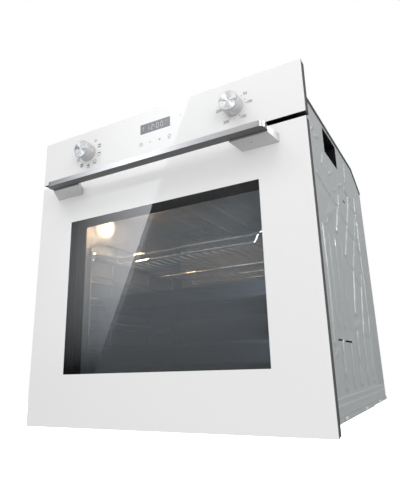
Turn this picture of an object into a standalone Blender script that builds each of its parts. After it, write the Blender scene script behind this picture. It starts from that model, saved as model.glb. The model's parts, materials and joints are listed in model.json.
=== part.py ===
"""Built-in electric wall oven: a steel body with an enamelled cavity, a drop-down glass door,
a glass control panel with two rotary knobs, racks, trays, heaters and fans.

Metres, +Z up, front towards -Y. Depths in this file are counted back from the front glass
face (the helpers add FRONT), so the handle and the knobs have negative depths.
The origin is under the middle of the whole oven, level with the door's lower edge.
"""
import math

import bmesh
import bpy
from mathutils import Matrix, Vector

# ---------------------------------------------------------------- driving dimensions
WIDTH = 0.594              # glass front, left to right
HEIGHT = 0.589             # glass front, door and panel together
DEPTH = 0.560              # front glass face to the back of the rear cover
HANDLE_REACH = 0.045       # handle's front in front of the glass
GAP = 0.0003               # clearance between pieces that touch
SHEET = 0.0010             # steel sheet of the housing
GLASS = 0.004              # every pane

PANEL_HEIGHT = 0.0985      # control panel
DOOR_GAP = 0.0087          # air gap between door and panel
RIM_DEPTH = 0.016          # back of the door's dark rim
RIM_INSET = 0.0005         # rim and carrier, inside the edge of the glass
DOOR_DEPTH = 0.049         # back of the innermost pane
MIDDLE_PANE = 0.022        # front face of the middle pane
DOOR_RAIL_TOP = 0.028
TRIM_HEIGHT = 0.0165

BODY_WIDTH = WIDTH - 0.036      # housing, between the outer faces of the side panels
BODY_TOP = HEIGHT - 0.022
BODY_REAR = DEPTH - 0.014       # rear edge of the side panels
SIDE_BOTTOM = 0.016             # lower edge of the side panels
BASE_Z = 0.030                  # base sheet
RAIL_BOTTOM = 0.0075
RAIL_WIDTH = 0.028
FLANGE_WIDTH = 0.013            # front flange of each side panel, screwed to the cabinet
FLANGE_DEPTH = 0.0178           # front face of that flange
SLOPE_START = BODY_REAR - 0.090     # where the top starts to fall towards the back
SLOPE_END_Z = BODY_TOP - 0.037
RIB_RISE = 0.0015               # pressed ribs of the side panels

CAVITY_WIDTH = BODY_WIDTH - 0.083   # enamelled cavity, inner sizes
CAVITY_FLOOR = 0.088
CAVITY_REAR = BODY_REAR - 0.076
ENAMEL = 0.0012
INSULATION = 0.022
FRAME_DEPTH = DOOR_DEPTH + 0.003    # front face of the front frame

GRIP_FRONT, GRIP_REAR = 0.184, 0.290
GRIP_BOTTOM, GRIP_TOP = BODY_TOP - 0.067, BODY_TOP - 0.0125

HINGE_DEPTH = 0.028        # door hinge axis
HINGE_Z = 0.024
PIN_RADIUS = 0.003

KNOB_X = WIDTH / 2 - 0.127
KNOB_LENGTH = 0.024
SKIRT_RADIUS = 0.0182
CAP_RADIUS = 0.0186
SHAFT_RADIUS = 0.003

HANDLE_HALF = WIDTH / 2 - 0.058     # half the handle bar's length
HANDLE_THICK = 0.010
HANDLE_BAR_DEPTH = 0.020
HANDLE_CORNER = 0.011
SCREW_RADIUS = 0.0025

WIRE = 0.0025              # radius of rack and shelf wires
THIN_WIRE = 0.002          # radius of the shelf's cross wires
RACK_FRONT, RACK_REAR = FRAME_DEPTH + 0.038, CAVITY_REAR - 0.060
SLIDE_FRONT, SLIDE_REAR = FRAME_DEPTH + 0.036, CAVITY_REAR - 0.065
LEVELS = 5
LEVEL_FIRST = CAVITY_FLOOR + 0.0598     # upper wire of the lowest level
LEVEL_PAIR = 0.014                      # upper wire to lower wire of one level
HEATER = 0.0032            # radius of every heater tube

# ---------------------------------------------------------------- derived places
FRONT = -(DEPTH + HANDLE_REACH) / 2 + HANDLE_REACH
HALF = WIDTH / 2
PANEL_BOTTOM = HEIGHT - PANEL_HEIGHT
KNOB_Z = PANEL_BOTTOM + 0.0475
DOOR_TOP = PANEL_BOTTOM - DOOR_GAP
DOOR_TRIM_BOTTOM = DOOR_TOP - TRIM_HEIGHT
HANDLE_BOTTOM = DOOR_TOP - 0.0218
HANDLE_SCREW_X = HANDLE_HALF - 0.034
HANDLE_SCREW_Z = HANDLE_BOTTOM - 0.005
SIDE = BODY_WIDTH / 2
SIDE_IN = SIDE - SHEET
CAV = CAVITY_WIDTH / 2
CAVITY_CEILING = PANEL_BOTTOM - 0.0385
FAN_Z = (CAVITY_FLOOR + CAVITY_CEILING) / 2 - 0.005     # convection fan's axis
LEVEL_PITCH = (CAVITY_CEILING - LEVEL_FIRST - 0.1066) / (LEVELS - 1)
RIM_FRONT = GLASS + GAP
INNER_PANE = DOOR_DEPTH - GLASS
COLUMN_BACK = INNER_PANE - 2 * GAP
COLUMN_IN = CAV - 0.0095   # inner face of the door columns
COLUMN_OUT = SIDE - 0.017  # outer face of their deep part
INSUL_OUT = CAV + ENAMEL + GAP + INSULATION
BAFFLE = CAVITY_REAR - 0.032        # front face of the fan baffle

# ---------------------------------------------------------------- scene set-up
for old in list(bpy.data.objects):
    bpy.data.objects.remove(old, do_unlink=True)


def new_collection(name):
    collection = bpy.data.collections.new(name)
    bpy.context.scene.collection.children.link(collection)
    return collection


PARTS = new_collection("wall_oven")
CUTTERS = new_collection("cutters")


def material(name, colour, roughness, metallic=0.0):
    made = bpy.data.materials.new(name)
    made.use_nodes = True
    shader = made.node_tree.nodes["Principled BSDF"]
    shader.inputs["Base Color"].default_value = (*colour, 1.0)
    shader.inputs["Roughness"].default_value = roughness
    shader.inputs["Metallic"].default_value = metallic
    return made


WHITE_GLASS = material("white_glass", (0.86, 0.86, 0.86), 0.08)
CLEAR_GLASS = material("clear_glass", (0.10, 0.11, 0.12), 0.05)
GALVANISED = material("galvanised_steel", (0.42, 0.45, 0.49), 0.40, 0.9)
BLACK_STEEL = material("black_painted_steel", (0.02, 0.02, 0.022), 0.50)
ENAMELLED = material("grey_enamel", (0.06, 0.065, 0.075), 0.25)
ALUMINIUM = material("satin_aluminium", (0.60, 0.61, 0.62), 0.32, 1.0)
SPUN = material("spun_aluminium", (0.78, 0.78, 0.78), 0.25, 1.0)
CHROMED = material("chromed_wire", (0.70, 0.70, 0.70), 0.15, 1.0)
HEATER_STEEL = material("heater_tube", (0.12, 0.11, 0.10), 0.45, 0.8)
WOOL = material("mineral_wool", (0.55, 0.50, 0.36), 0.95)
SEAL = material("silicone_seal", (0.03, 0.03, 0.03), 0.70)
BLACK_PLASTIC = material("black_plastic", (0.02, 0.02, 0.02), 0.45)
WHITE_PLASTIC = material("white_plastic", (0.75, 0.74, 0.70), 0.50)
BOARD = material("circuit_board", (0.03, 0.16, 0.08), 0.55)
LAMP_GLASS = material("lamp_glass", (0.95, 0.90, 0.78), 0.10)


# ---------------------------------------------------------------- modelling helpers
def at(x, depth, z):
    """World place of a point given by its depth behind the front glass face."""
    return Vector((x, FRONT + depth, z))


def block(x, depth, z):
    """A box between two x values, two depths and two heights."""
    def draw(bm):
        size = Vector((x[1] - x[0], depth[1] - depth[0], z[1] - z[0]))
        middle = at((x[0] + x[1]) / 2, (depth[0] + depth[1]) / 2, (z[0] + z[1]) / 2)
        place = Matrix.Translation(middle) @ Matrix.Diagonal((*size, 1.0))
        bmesh.ops.create_cube(bm, size=1.0, matrix=place)
    return draw


def rod(start, end, radius, sides=16, end_radius=None):
    """A round bar, or a cone, between two points given as (x, depth, z)."""
    def draw(bm):
        a, b = at(*start), at(*end)
        turn = (b - a).to_track_quat("Z", "Y").to_matrix().to_4x4()
        place = Matrix.Translation((a + b) / 2) @ turn
        second = radius if end_radius is None else end_radius
        bmesh.ops.create_cone(bm, cap_ends=True, segments=sides, radius1=radius,
                              radius2=second, depth=(b - a).length, matrix=place)
    return draw


def loft(near, far, depth):
    """A solid between two upright rectangles, each (x0, x1, z0, z1), at two depths."""
    def draw(bm):
        made = bmesh.ops.create_cube(bm, size=1.0)["verts"]
        for vert in made:
            x0, x1, z0, z1 = near if vert.co.y < 0 else far
            place = depth[0] if vert.co.y < 0 else depth[1]
            vert.co = at(x0 if vert.co.x < 0 else x1, place, z0 if vert.co.z < 0 else z1)
    return draw


def mesh_object(name, shapes, collection):
    bm = bmesh.new()
    for draw in shapes:
        draw(bm)
    mesh = bpy.data.meshes.new(name)
    bm.to_mesh(mesh)
    bm.free()
    made = bpy.data.objects.new(name, mesh)
    collection.objects.link(made)
    return made


def boolean(target, tool, operation):
    tool.hide_render = True
    tool.display_type = "WIRE"
    step = target.modifiers.new(operation.lower(), "BOOLEAN")
    step.operation = operation
    step.solver = "EXACT"
    step.object = tool


def work(target, join=(), cut=()):
    """Union each group of shapes to the target, then cut each group from it."""
    for operation, groups in (("UNION", join), ("DIFFERENCE", cut)):
        for number, shapes in enumerate(groups):
            name = f"{target.name}_{operation.lower()}_{number}"
            boolean(target, mesh_object(name, shapes, CUTTERS), operation)


def finish(made, skin, smooth=False, bevel=0.0):
    made.data.materials.clear()
    made.data.materials.append(skin)
    if bevel:
        rounding = made.modifiers.new("edges", "BEVEL")
        rounding.width = bevel
        rounding.segments = 2
        rounding.limit_method = "ANGLE"
        rounding.angle_limit = math.radians(40)
    if smooth:
        made.data.shade_smooth()
        made.data.set_sharp_from_angle(angle=math.radians(35))
    return made


def piece(name, skin, shapes, join=(), cut=(), smooth=False, bevel=0.0):
    """A sub-part made of simple solids, with unions and cuts."""
    made = mesh_object(name, shapes, PARTS)
    work(made, join, cut)
    return finish(made, skin, smooth, bevel)


def to_mesh(curve, collection=PARTS):
    """The curve as a welded mesh object of the same name and place."""
    bpy.context.view_layer.update()
    seen = curve.evaluated_get(bpy.context.evaluated_depsgraph_get())
    mesh = bpy.data.meshes.new_from_object(seen)
    bm = bmesh.new()
    bm.from_mesh(mesh)
    bmesh.ops.remove_doubles(bm, verts=bm.verts, dist=1e-6)
    bm.to_mesh(mesh)
    bm.free()
    name = curve.name
    place = curve.matrix_world.copy()
    bpy.data.objects.remove(curve, do_unlink=True)
    made = bpy.data.objects.new(name, mesh)
    made.matrix_world = place
    collection.objects.link(made)
    return made


UPRIGHT = Matrix(((0, 0, 1), (1, 0, 0), (0, 1, 0))).to_4x4()    # outline in depth and height


def outline(name, points, thickness, place):
    """A flat closed outline with a thickness, centred on its plane."""
    data = bpy.data.curves.new(name, "CURVE")
    data.dimensions = "2D"
    data.fill_mode = "BOTH"
    data.extrude = thickness / 2
    spline = data.splines.new("POLY")
    spline.points.add(len(points) - 1)
    for point, (u, v) in zip(spline.points, points):
        point.co = (u, v, 0.0, 1.0)
    spline.use_cyclic_u = True
    made = bpy.data.objects.new(name, data)
    made.matrix_world = place
    PARTS.objects.link(made)
    return to_mesh(made)


def tube(name, points, radius, cyclic=False):
    """A bent wire along points given as (x, depth, z)."""
    data = bpy.data.curves.new(name, "CURVE")
    data.dimensions = "3D"
    data.bevel_depth = radius
    data.bevel_resolution = 2
    data.use_fill_caps = not cyclic
    spline = data.splines.new("POLY")
    spline.points.add(len(points) - 1)
    for point, co in zip(spline.points, points):
        point.co = (*at(*co), 1.0)
    spline.use_cyclic_u = cyclic
    made = bpy.data.objects.new(name, data)
    PARTS.objects.link(made)
    return to_mesh(made)


def turned(name, skin, profile, centre, closed=False, sides=32, axis=None):
    """A turned piece: profile of (radius, height) pairs, outer side from top to bottom.

    Its height runs forwards, towards -Y, unless another rotation matrix is given.
    """
    mesh = bpy.data.meshes.new(name)
    count = len(profile)
    edges = [(i, i + 1) for i in range(count - 1)]
    if closed:
        edges.append((count - 1, 0))
    mesh.from_pydata([(radius, 0.0, height) for radius, height in profile], edges, [])
    made = bpy.data.objects.new(name, mesh)
    turn = Matrix.Rotation(math.pi / 2, 4, "X") if axis is None else axis
    made.matrix_world = Matrix.Translation(at(*centre)) @ turn
    PARTS.objects.link(made)
    screw = made.modifiers.new("turn", "SCREW")
    screw.axis = "Z"
    screw.angle = 2 * math.pi
    screw.steps = sides
    screw.render_steps = sides
    screw.use_merge_vertices = True
    screw.merge_threshold = 1e-5
    screw.use_smooth_shade = True
    made.data.materials.append(skin)
    return made


def arc(centre, radius, start, stop, steps):
    """Points along an arc, angles in degrees."""
    points = []
    for i in range(steps + 1):
        angle = math.radians(start + (stop - start) * i / steps)
        points.append((centre[0] + radius * math.cos(angle), centre[1] + radius * math.sin(angle)))
    return points


def sided(sign):
    """A function that gives a span of x on the left (-1) or on the right (1) side."""
    def span(low, high):
        return (-high, -low) if sign < 0 else (low, high)
    return span


# ---------------------------------------------------------------- housing
def side_panels():
    """Galvanised side sheets with a front flange, a hand-grip opening and pressed ribs."""
    under_cover = BODY_TOP - SHEET - GAP
    shape = [(FLANGE_DEPTH, HINGE_Z - 0.0015), (HINGE_DEPTH - 0.003, SIDE_BOTTOM), (BODY_REAR, SIDE_BOTTOM),
             (BODY_REAR, SLOPE_END_Z - SHEET), (SLOPE_START, under_cover), (FLANGE_DEPTH, under_cover)]
    points = [(FRONT + depth, z) for depth, z in shape]
    rib_low, rib_high = 0.052, 0.130
    rib_places = (0.171, 0.230, 0.296, 0.362, 0.440)
    for name, sign in (("left_side_panel", -1), ("right_side_panel", 1)):
        middle = sign * (SIDE - SHEET / 2)
        made = outline(name, points, SHEET, Matrix.Translation((middle, 0, 0)) @ UPRIGHT)
        span = sided(sign)
        flange = block(span(SIDE - SHEET / 2, SIDE + FLANGE_WIDTH),
                       (FLANGE_DEPTH, FLANGE_DEPTH + SHEET), (HINGE_Z + 0.003, BODY_TOP - 0.007))
        foot = block(span(SIDE_IN - 0.016, SIDE - SHEET / 2), (FRAME_DEPTH + 0.008, BODY_REAR - 0.006),
                     (SIDE_BOTTOM, SIDE_BOTTOM + SHEET))
        ribs = [block(span(SIDE - SHEET / 2, SIDE + RIB_RISE), (place - 0.006, place + 0.006),
                      (rib_low, rib_high)) for place in rib_places]
        ribs.append(block(span(SIDE - SHEET / 2, SIDE + RIB_RISE), (0.060, BODY_REAR - 0.030),
                          (HINGE_Z + 0.0025, HINGE_Z + 0.0095)))
        grip = block(span(SIDE - 0.004, SIDE + 0.004), (GRIP_FRONT, GRIP_REAR), (GRIP_BOTTOM, GRIP_TOP))
        work(made, join=[[flange], [foot], ribs], cut=[[grip]])
        finish(made, GALVANISED)


def grip_cups():
    """Dark moulded hand-grip cups in the side openings."""
    wall = 0.0015
    back = SIDE - 0.030
    for name, sign in (("left_grip_cup", -1), ("right_grip_cup", 1)):
        span = sided(sign)
        outer = block(span(back, SIDE - 2 * SHEET), (GRIP_FRONT - wall, GRIP_REAR + wall),
                      (GRIP_BOTTOM - wall, GRIP_TOP + wall))
        hollow = block(span(back + wall, SIDE), (GRIP_FRONT, GRIP_REAR), (GRIP_BOTTOM, GRIP_TOP))
        piece(name, BLACK_PLASTIC, [outer], cut=[[hollow]])


def top_cover():
    """Dark top sheet with short side lips; its rear part slopes down to the rear panel."""
    lip = 0.006
    half = SIDE + GAP + SHEET
    ends = [(FLANGE_DEPTH + 0.002, BODY_TOP), (SLOPE_START, BODY_TOP), (BODY_REAR, SLOPE_END_Z)]
    under = [(depth, z - SHEET) for depth, z in reversed(ends)]
    skirt = [(depth, z - lip) for depth, z in reversed(ends)]
    sheet = [(FRONT + depth, z) for depth, z in ends + under]
    lips = [(FRONT + depth, z) for depth, z in ends + skirt]
    made = outline("top_cover", sheet, 2 * half, UPRIGHT)
    for name, sign in (("lip_left", -1), ("lip_right", 1)):
        middle = Matrix.Translation((sign * (half - SHEET / 2), 0, 0))
        side = outline(name, lips, SHEET, middle @ UPRIGHT)
        PARTS.objects.unlink(side)
        CUTTERS.objects.link(side)
        boolean(made, side, "UNION")
    slots = [block((x, x + 0.040), (0.200, 0.204), (BODY_TOP - 0.004, BODY_TOP + 0.004))
             for x in (-0.180, -0.120, 0.080, 0.140)]
    work(made, cut=[slots])
    finish(made, BLACK_STEEL)


def rear_pieces():
    """Rear sheet with vents, and the raised cover over the fan motor."""
    inside = SIDE_IN - GAP
    back = BODY_REAR - 0.001
    vent_in, vent_out, vent_pitch = SIDE - 0.099, SIDE - 0.029, 0.015
    vent_rows = [SLOPE_END_Z - 0.070 - vent_pitch * i for i in range(5)]
    vents = [block(sided(sign)(vent_in, vent_out), (back - 0.01, back + 0.01), (z, z + 0.006))
             for sign in (-1, 1) for z in vent_rows]
    motor_hole = rod((0, back - 0.01, FAN_Z), (0, back + 0.01, FAN_Z), 0.060, 24)
    piece("rear_panel", GALVANISED,
          [block((-inside, inside), (back - SHEET, back), (BASE_Z + SHEET + GAP, SLOPE_END_Z - 0.004))],
          cut=[vents, [motor_hole]])
    front = back + GAP

    def cover(inset, depths):
        wide, tall, taper = 0.120 - inset, 0.110 - inset, 0.020
        return loft((-wide, wide, FAN_Z - tall, FAN_Z + tall),
                    (taper - wide, wide - taper, FAN_Z - tall + taper, FAN_Z + tall - taper), depths)
    outer = cover(0.0, (front, DEPTH))
    hollow = cover(0.0015, (front - 0.004, DEPTH - SHEET))
    slots = [block((-0.060, 0.060), (DEPTH - 0.004, DEPTH + 0.004), (FAN_Z + z, FAN_Z + z + 0.005))
             for z in (-0.050, -0.025, 0.0, 0.025, 0.050)]
    piece("rear_cover", GALVANISED, [outer], cut=[[hollow], slots])


def base_pieces():
    """Base sheet and the two rails that the oven stands on in its cabinet."""
    inside = SIDE_IN - GAP
    start = FRAME_DEPTH + SHEET + 2 * GAP
    lip = block((-inside, inside), (start, start + SHEET), (SIDE_BOTTOM + 2 * SHEET, BASE_Z + SHEET / 2))
    slots = [block((x, x + 0.005), (0.150, CAVITY_REAR - 0.070), (BASE_Z - 0.003, BASE_Z + 0.004))
             for x in (-0.16, -0.08, 0.075, 0.155)]
    piece("base_pan", GALVANISED,
          [block((-inside, inside), (start, BODY_REAR - 0.0005), (BASE_Z, BASE_Z + SHEET))],
          join=[[lip]], cut=[slots])
    top = SIDE_BOTTOM - GAP
    for name, sign in (("left_base_rail", -1), ("right_base_rail", 1)):
        span = sided(sign)
        outer = block(span(SIDE - RAIL_WIDTH, SIDE), (FRAME_DEPTH + 0.008, DEPTH - 0.003), (RAIL_BOTTOM, top))
        step = block(span(SIDE - RAIL_WIDTH - 0.01, SIDE + 0.01), (DEPTH - 0.174, DEPTH + 0.01),
                     (RAIL_BOTTOM - 0.01, RAIL_BOTTOM + 0.0015))
        inner = block(span(SIDE - RAIL_WIDTH + 0.0015, SIDE - 0.0015), (FRAME_DEPTH, DEPTH + 0.01),
                      (RAIL_BOTTOM + 0.003, top - 0.0015))
        piece(name, GALVANISED, [outer], cut=[[step], [inner]])


def front_frame():
    """Steel ring around the cavity mouth, which carries the gasket and the hinge brackets."""
    inside = SIDE_IN - GAP
    plate = block((-inside, inside), (FRAME_DEPTH, FRAME_DEPTH + SHEET),
                  (SIDE_BOTTOM + 2 * SHEET, PANEL_BOTTOM))
    mouth = block((-CAV, CAV), (FRAME_DEPTH - 0.01, FRAME_DEPTH + 0.01), (CAVITY_FLOOR, CAVITY_CEILING))
    piece("front_frame", ENAMELLED, [plate], cut=[[mouth]])


def cavity():
    """Enamelled liner open at the front, its insulation and the door gasket."""
    start = FRAME_DEPTH + SHEET + GAP
    shaft_hole = rod((0, CAVITY_REAR - 0.05, FAN_Z), (0, CAVITY_REAR + 0.06, FAN_Z), 0.006, 16)
    lamp = lamp_axis()
    lamp_hole = rod((-CAV + 0.01, *lamp), (-INSUL_OUT - 0.01, *lamp), 0.0165, 20)
    liner = block((-CAV - ENAMEL, CAV + ENAMEL), (start, CAVITY_REAR + ENAMEL),
                  (CAVITY_FLOOR - ENAMEL, CAVITY_CEILING + ENAMEL))
    hollow = block((-CAV, CAV), (start - 0.01, CAVITY_REAR), (CAVITY_FLOOR, CAVITY_CEILING))
    piece("cavity_liner", ENAMELLED, [liner], cut=[[hollow], [shaft_hole], [lamp_hole]])
    skin = ENAMEL + GAP
    floor_room = 0.0105
    wool_start = start + 0.002
    wool = block((-INSUL_OUT, INSUL_OUT), (wool_start, CAVITY_REAR + skin + INSULATION),
                 (CAVITY_FLOOR - floor_room - INSULATION, CAVITY_CEILING + skin + INSULATION))
    core = block((-CAV - skin, CAV + skin), (wool_start - 0.01, CAVITY_REAR + skin),
                 (CAVITY_FLOOR - floor_room, CAVITY_CEILING + skin))
    wide_lamp = rod((-CAV, *lamp), (-INSUL_OUT - 0.01, *lamp), 0.0205, 20)
    piece("insulation", WOOL, [wool], cut=[[core], [shaft_hole], [wide_lamp]])
    lip, width = 0.004, 0.008
    seal_in, seal_out = CAV + lip, CAV + lip + width
    ring = block((-seal_out, seal_out), (DOOR_DEPTH + GAP, FRAME_DEPTH - GAP),
                 (CAVITY_FLOOR - lip - width, CAVITY_CEILING + lip + width))
    mouth = block((-seal_in, seal_in), (DOOR_DEPTH - 0.01, FRAME_DEPTH + 0.01),
                  (CAVITY_FLOOR - lip, CAVITY_CEILING + lip))
    piece("door_gasket", SEAL, [ring], cut=[[mouth]])


# ---------------------------------------------------------------- control panel
def control_panel():
    """White glass with two shaft holes, on a black carrier that holds the controls."""
    holes = [rod((sign * KNOB_X, -0.01, KNOB_Z), (sign * KNOB_X, 0.02, KNOB_Z), 0.005, 20)
             for sign in (-1, 1)]
    piece("control_glass", WHITE_GLASS,
          [block((-HALF, HALF), (0, GLASS), (PANEL_BOTTOM, HEIGHT))], cut=[holes])
    back = FLANGE_DEPTH - GAP
    wall = 0.002
    side = HALF - RIM_INSET
    low, high = PANEL_BOTTOM + RIM_INSET, HEIGHT - RIM_INSET
    outer = block((-side, side), (RIM_FRONT, back), (low, high))
    hollow = block((-side + wall, side - wall), (RIM_FRONT + wall, back + 0.01), (low + wall, high - wall))
    window = block((-0.041, 0.041), (0, RIM_FRONT + 0.0077), (PANEL_BOTTOM + 0.044, PANEL_BOTTOM + 0.078))
    big = [rod((sign * KNOB_X, 0, KNOB_Z), (sign * KNOB_X, 0.012, KNOB_Z), 0.008, 20) for sign in (-1, 1)]
    piece("control_carrier", BLACK_PLASTIC, [outer], cut=[[hollow], [window], big])
    module_back = RIM_FRONT + 0.0082
    board = (module_back + 0.0005, module_back + 0.0021)
    piece("display_module", BLACK_PLASTIC,
          [block((-0.0385, 0.0385), (RIM_FRONT, module_back), (PANEL_BOTTOM + 0.0465, PANEL_BOTTOM + 0.0755))])
    keys = [block((x - 0.006, x + 0.006), (RIM_FRONT + 0.0027, board[0] + 0.0004),
                  (PANEL_BOTTOM + 0.0229, PANEL_BOTTOM + 0.0349)) for x in (-0.033, -0.011, 0.011, 0.033)]
    piece("control_board", BOARD,
          [block((-0.075, 0.075), board, (PANEL_BOTTOM + 0.0145, PANEL_BOTTOM + 0.0815))], join=[keys])
    switch_half = 0.019
    front = RIM_FRONT + wall + GAP
    for name, sign, depth, skin in (("function_switch", -1, 0.032, BLACK_PLASTIC),
                                    ("thermostat", 1, 0.026, WHITE_PLASTIC)):
        x = sign * KNOB_X
        rear = front + depth
        body = block((x - switch_half, x + switch_half), (front, rear),
                     (KNOB_Z - switch_half, KNOB_Z + switch_half))
        terminals = [block((x + dx - 0.003, x + dx + 0.003), (rear - 0.001, rear + 0.008),
                           (KNOB_Z + 0.005, KNOB_Z + 0.006)) for dx in (-0.012, 0.0, 0.012)]
        bore = rod((x, 0, KNOB_Z), (x, front + 0.010, KNOB_Z), SHAFT_RADIUS + GAP, 20)
        piece(name, skin, [body], join=[terminals], cut=[[bore]])


def knobs():
    """Two rotary knobs: a skirt, a cap on its stub and a shaft each."""
    seat = 0.0006
    waist = 0.0085
    bore = SHAFT_RADIUS + GAP
    stub = 0.0105
    for name, sign in (("function_knob", -1), ("temperature_knob", 1)):
        centre = (sign * KNOB_X, 0, KNOB_Z)
        skirt = [(SKIRT_RADIUS - 0.0006, waist), (SKIRT_RADIUS, waist - 0.0006), (SKIRT_RADIUS, seat),
                 (stub + GAP, seat), (stub + GAP, waist)]
        turned(f"{name}_skirt", ALUMINIUM, skirt, centre, closed=True)
        cap = [(0.0, KNOB_LENGTH), (CAP_RADIUS - 0.0012, KNOB_LENGTH), (CAP_RADIUS, KNOB_LENGTH - 0.0012),
               (SKIRT_RADIUS, waist + GAP), (stub, waist + GAP), (stub, seat + 0.001), (bore, seat + 0.001),
               (bore, 0.016), (0.0, 0.016)]
        turned(f"{name}_cap", SPUN, cap, centre)
        end = RIM_FRONT + 0.011
        shaft = [(0.0, 0.0155), (SHAFT_RADIUS, 0.0155), (SHAFT_RADIUS, -end), (0.0, -end)]
        turned(f"{name}_shaft", CHROMED, shaft, centre, sides=20)


# ---------------------------------------------------------------- door
def door_glass():
    """Outer white-printed pane, middle pane and inner pane."""
    screws = [rod((sign * HANDLE_SCREW_X, -0.01, HANDLE_SCREW_Z), (sign * HANDLE_SCREW_X, 0.02, HANDLE_SCREW_Z),
                  SCREW_RADIUS + 0.0004, 16) for sign in (-1, 1)]
    piece("door_outer_glass", WHITE_GLASS, [block((-HALF, HALF), (0, GLASS), (0, DOOR_TOP))], cut=[screws])
    inner = COLUMN_IN - GAP
    piece("door_middle_glass", CLEAR_GLASS,
          [block((-inner, inner), (MIDDLE_PANE, MIDDLE_PANE + GLASS),
                 (DOOR_RAIL_TOP + GAP, DOOR_TRIM_BOTTOM - GAP))])
    piece("door_inner_glass", CLEAR_GLASS,
          [block((-COLUMN_OUT, COLUMN_OUT), (INNER_PANE, DOOR_DEPTH),
                 (DOOR_RAIL_TOP + 0.002, DOOR_TOP - 0.008))])


def door_frame():
    """Dark side columns with their rims, the vented top trim and the bottom rail."""
    low, high = 0.0015, DOOR_TOP - 0.0015
    for name, sign in (("door_left_column", -1), ("door_right_column", 1)):
        span = sided(sign)
        rim = block(span(COLUMN_IN, HALF - RIM_INSET), (RIM_FRONT, RIM_DEPTH), (low, high))
        deep = block(span(COLUMN_IN, COLUMN_OUT), (RIM_FRONT + 0.002, COLUMN_BACK),
                     (DOOR_RAIL_TOP + 0.003, high - 0.002))
        piece(name, BLACK_PLASTIC, [rim], join=[[deep]])
    inner = COLUMN_IN - GAP
    pitch = (inner - 0.0477) / 4
    vents = [block((pitch * i - 0.016, pitch * i + 0.016), (0.014, 0.036),
                   (DOOR_TRIM_BOTTOM - 0.01, DOOR_TOP + 0.01)) for i in range(-4, 5)]
    piece("door_top_trim", BLACK_PLASTIC,
          [block((-inner, inner), (RIM_FRONT, COLUMN_BACK), (DOOR_TRIM_BOTTOM, high))], cut=[vents])
    piece("door_bottom_rail", BLACK_PLASTIC,
          [block((-inner, inner), (RIM_FRONT, 0.030), (0.004, DOOR_RAIL_TOP))])


def handle():
    """Flat handle bar with rounded front corners, on two flared posts, with its screws."""
    front, back = FRONT - HANDLE_REACH, FRONT - HANDLE_REACH + HANDLE_BAR_DEPTH
    half, corner = HANDLE_HALF, HANDLE_CORNER
    points = [(half, back), (-half, back)]
    points += arc((-half + corner, front + corner), corner, 180, 270, 6)
    points += arc((half - corner, front + corner), corner, 270, 360, 6)
    middle = Matrix.Translation((0, 0, HANDLE_BOTTOM + HANDLE_THICK / 2))
    bar = outline("handle_bar", points, HANDLE_THICK, middle)
    finish(bar, ALUMINIUM, smooth=True, bevel=0.0008)
    reach = HANDLE_REACH - HANDLE_BAR_DEPTH - GAP
    for name, sign in (("handle_left_post", -1), ("handle_right_post", 1)):
        span = sided(sign)
        near = (*span(HANDLE_HALF - 0.070, HANDLE_HALF - 0.0005),
                HANDLE_BOTTOM - 0.0025, HANDLE_BOTTOM + 0.0090)
        far = (*span(HANDLE_HALF - 0.057, HANDLE_HALF + 0.010),
               HANDLE_BOTTOM - 0.0131, HANDLE_BOTTOM + 0.0028)
        x, z = sign * HANDLE_SCREW_X, HANDLE_SCREW_Z
        bore = rod((x, -0.014, z), (x, 0.01, z), SCREW_RADIUS + GAP, 16)
        piece(name, ALUMINIUM, [loft(near, far, (-reach, -GAP))], cut=[[bore]])
        shank = rod((x, -0.0135, z), (x, 0.006, z), SCREW_RADIUS, 16)
        head = rod((x, RIM_FRONT, z), (x, RIM_FRONT + 0.0032, z), 0.005, 16)
        piece(name.replace("post", "screw"), CHROMED, [shank], join=[[head]])


def hinges():
    """Hinge brackets with riveted pins on the front frame, and the door plates that turn on them."""
    plate_in = COLUMN_OUT + 0.0004
    plate_out = plate_in + 0.003
    arm_in = plate_out + 0.0006
    arm_out = arm_in + 0.004
    hole = PIN_RADIUS + GAP
    for tag, sign in (("left", -1), ("right", 1)):
        span = sided(sign)
        low_z, high_z = HINGE_Z - 0.006, HINGE_Z + 0.006
        bore = rod((sign * (plate_in - 0.01), HINGE_DEPTH, HINGE_Z),
                   (sign * (arm_out + 0.01), HINGE_DEPTH, HINGE_Z), hole, 20)
        plate = block(span(plate_in, plate_out), (RIM_DEPTH + GAP, HINGE_DEPTH + 0.007),
                      (low_z, HINGE_Z + 0.086))
        piece(f"{tag}_hinge_plate", GALVANISED, [plate], cut=[[bore]])
        arm = block(span(arm_in, arm_out), (HINGE_DEPTH - 0.006, FRAME_DEPTH - GAP), (low_z, high_z))
        foot = block(span(arm_in, SIDE_IN - 0.002), (FRAME_DEPTH - 0.003, FRAME_DEPTH - GAP),
                     (HINGE_Z - 0.004, HINGE_Z + 0.030))
        pin = rod((sign * (plate_in + 0.0002), HINGE_DEPTH, HINGE_Z),
                  (sign * (arm_out + 0.001), HINGE_DEPTH, HINGE_Z), PIN_RADIUS, 20)
        piece(f"{tag}_hinge_bracket", GALVANISED, [arm], join=[[foot], [pin]])


# ---------------------------------------------------------------- cavity fittings
def lamp_axis():
    """Depth and height of the side lamp."""
    return (FRAME_DEPTH + 0.075, CAVITY_CEILING - 0.035)


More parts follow.
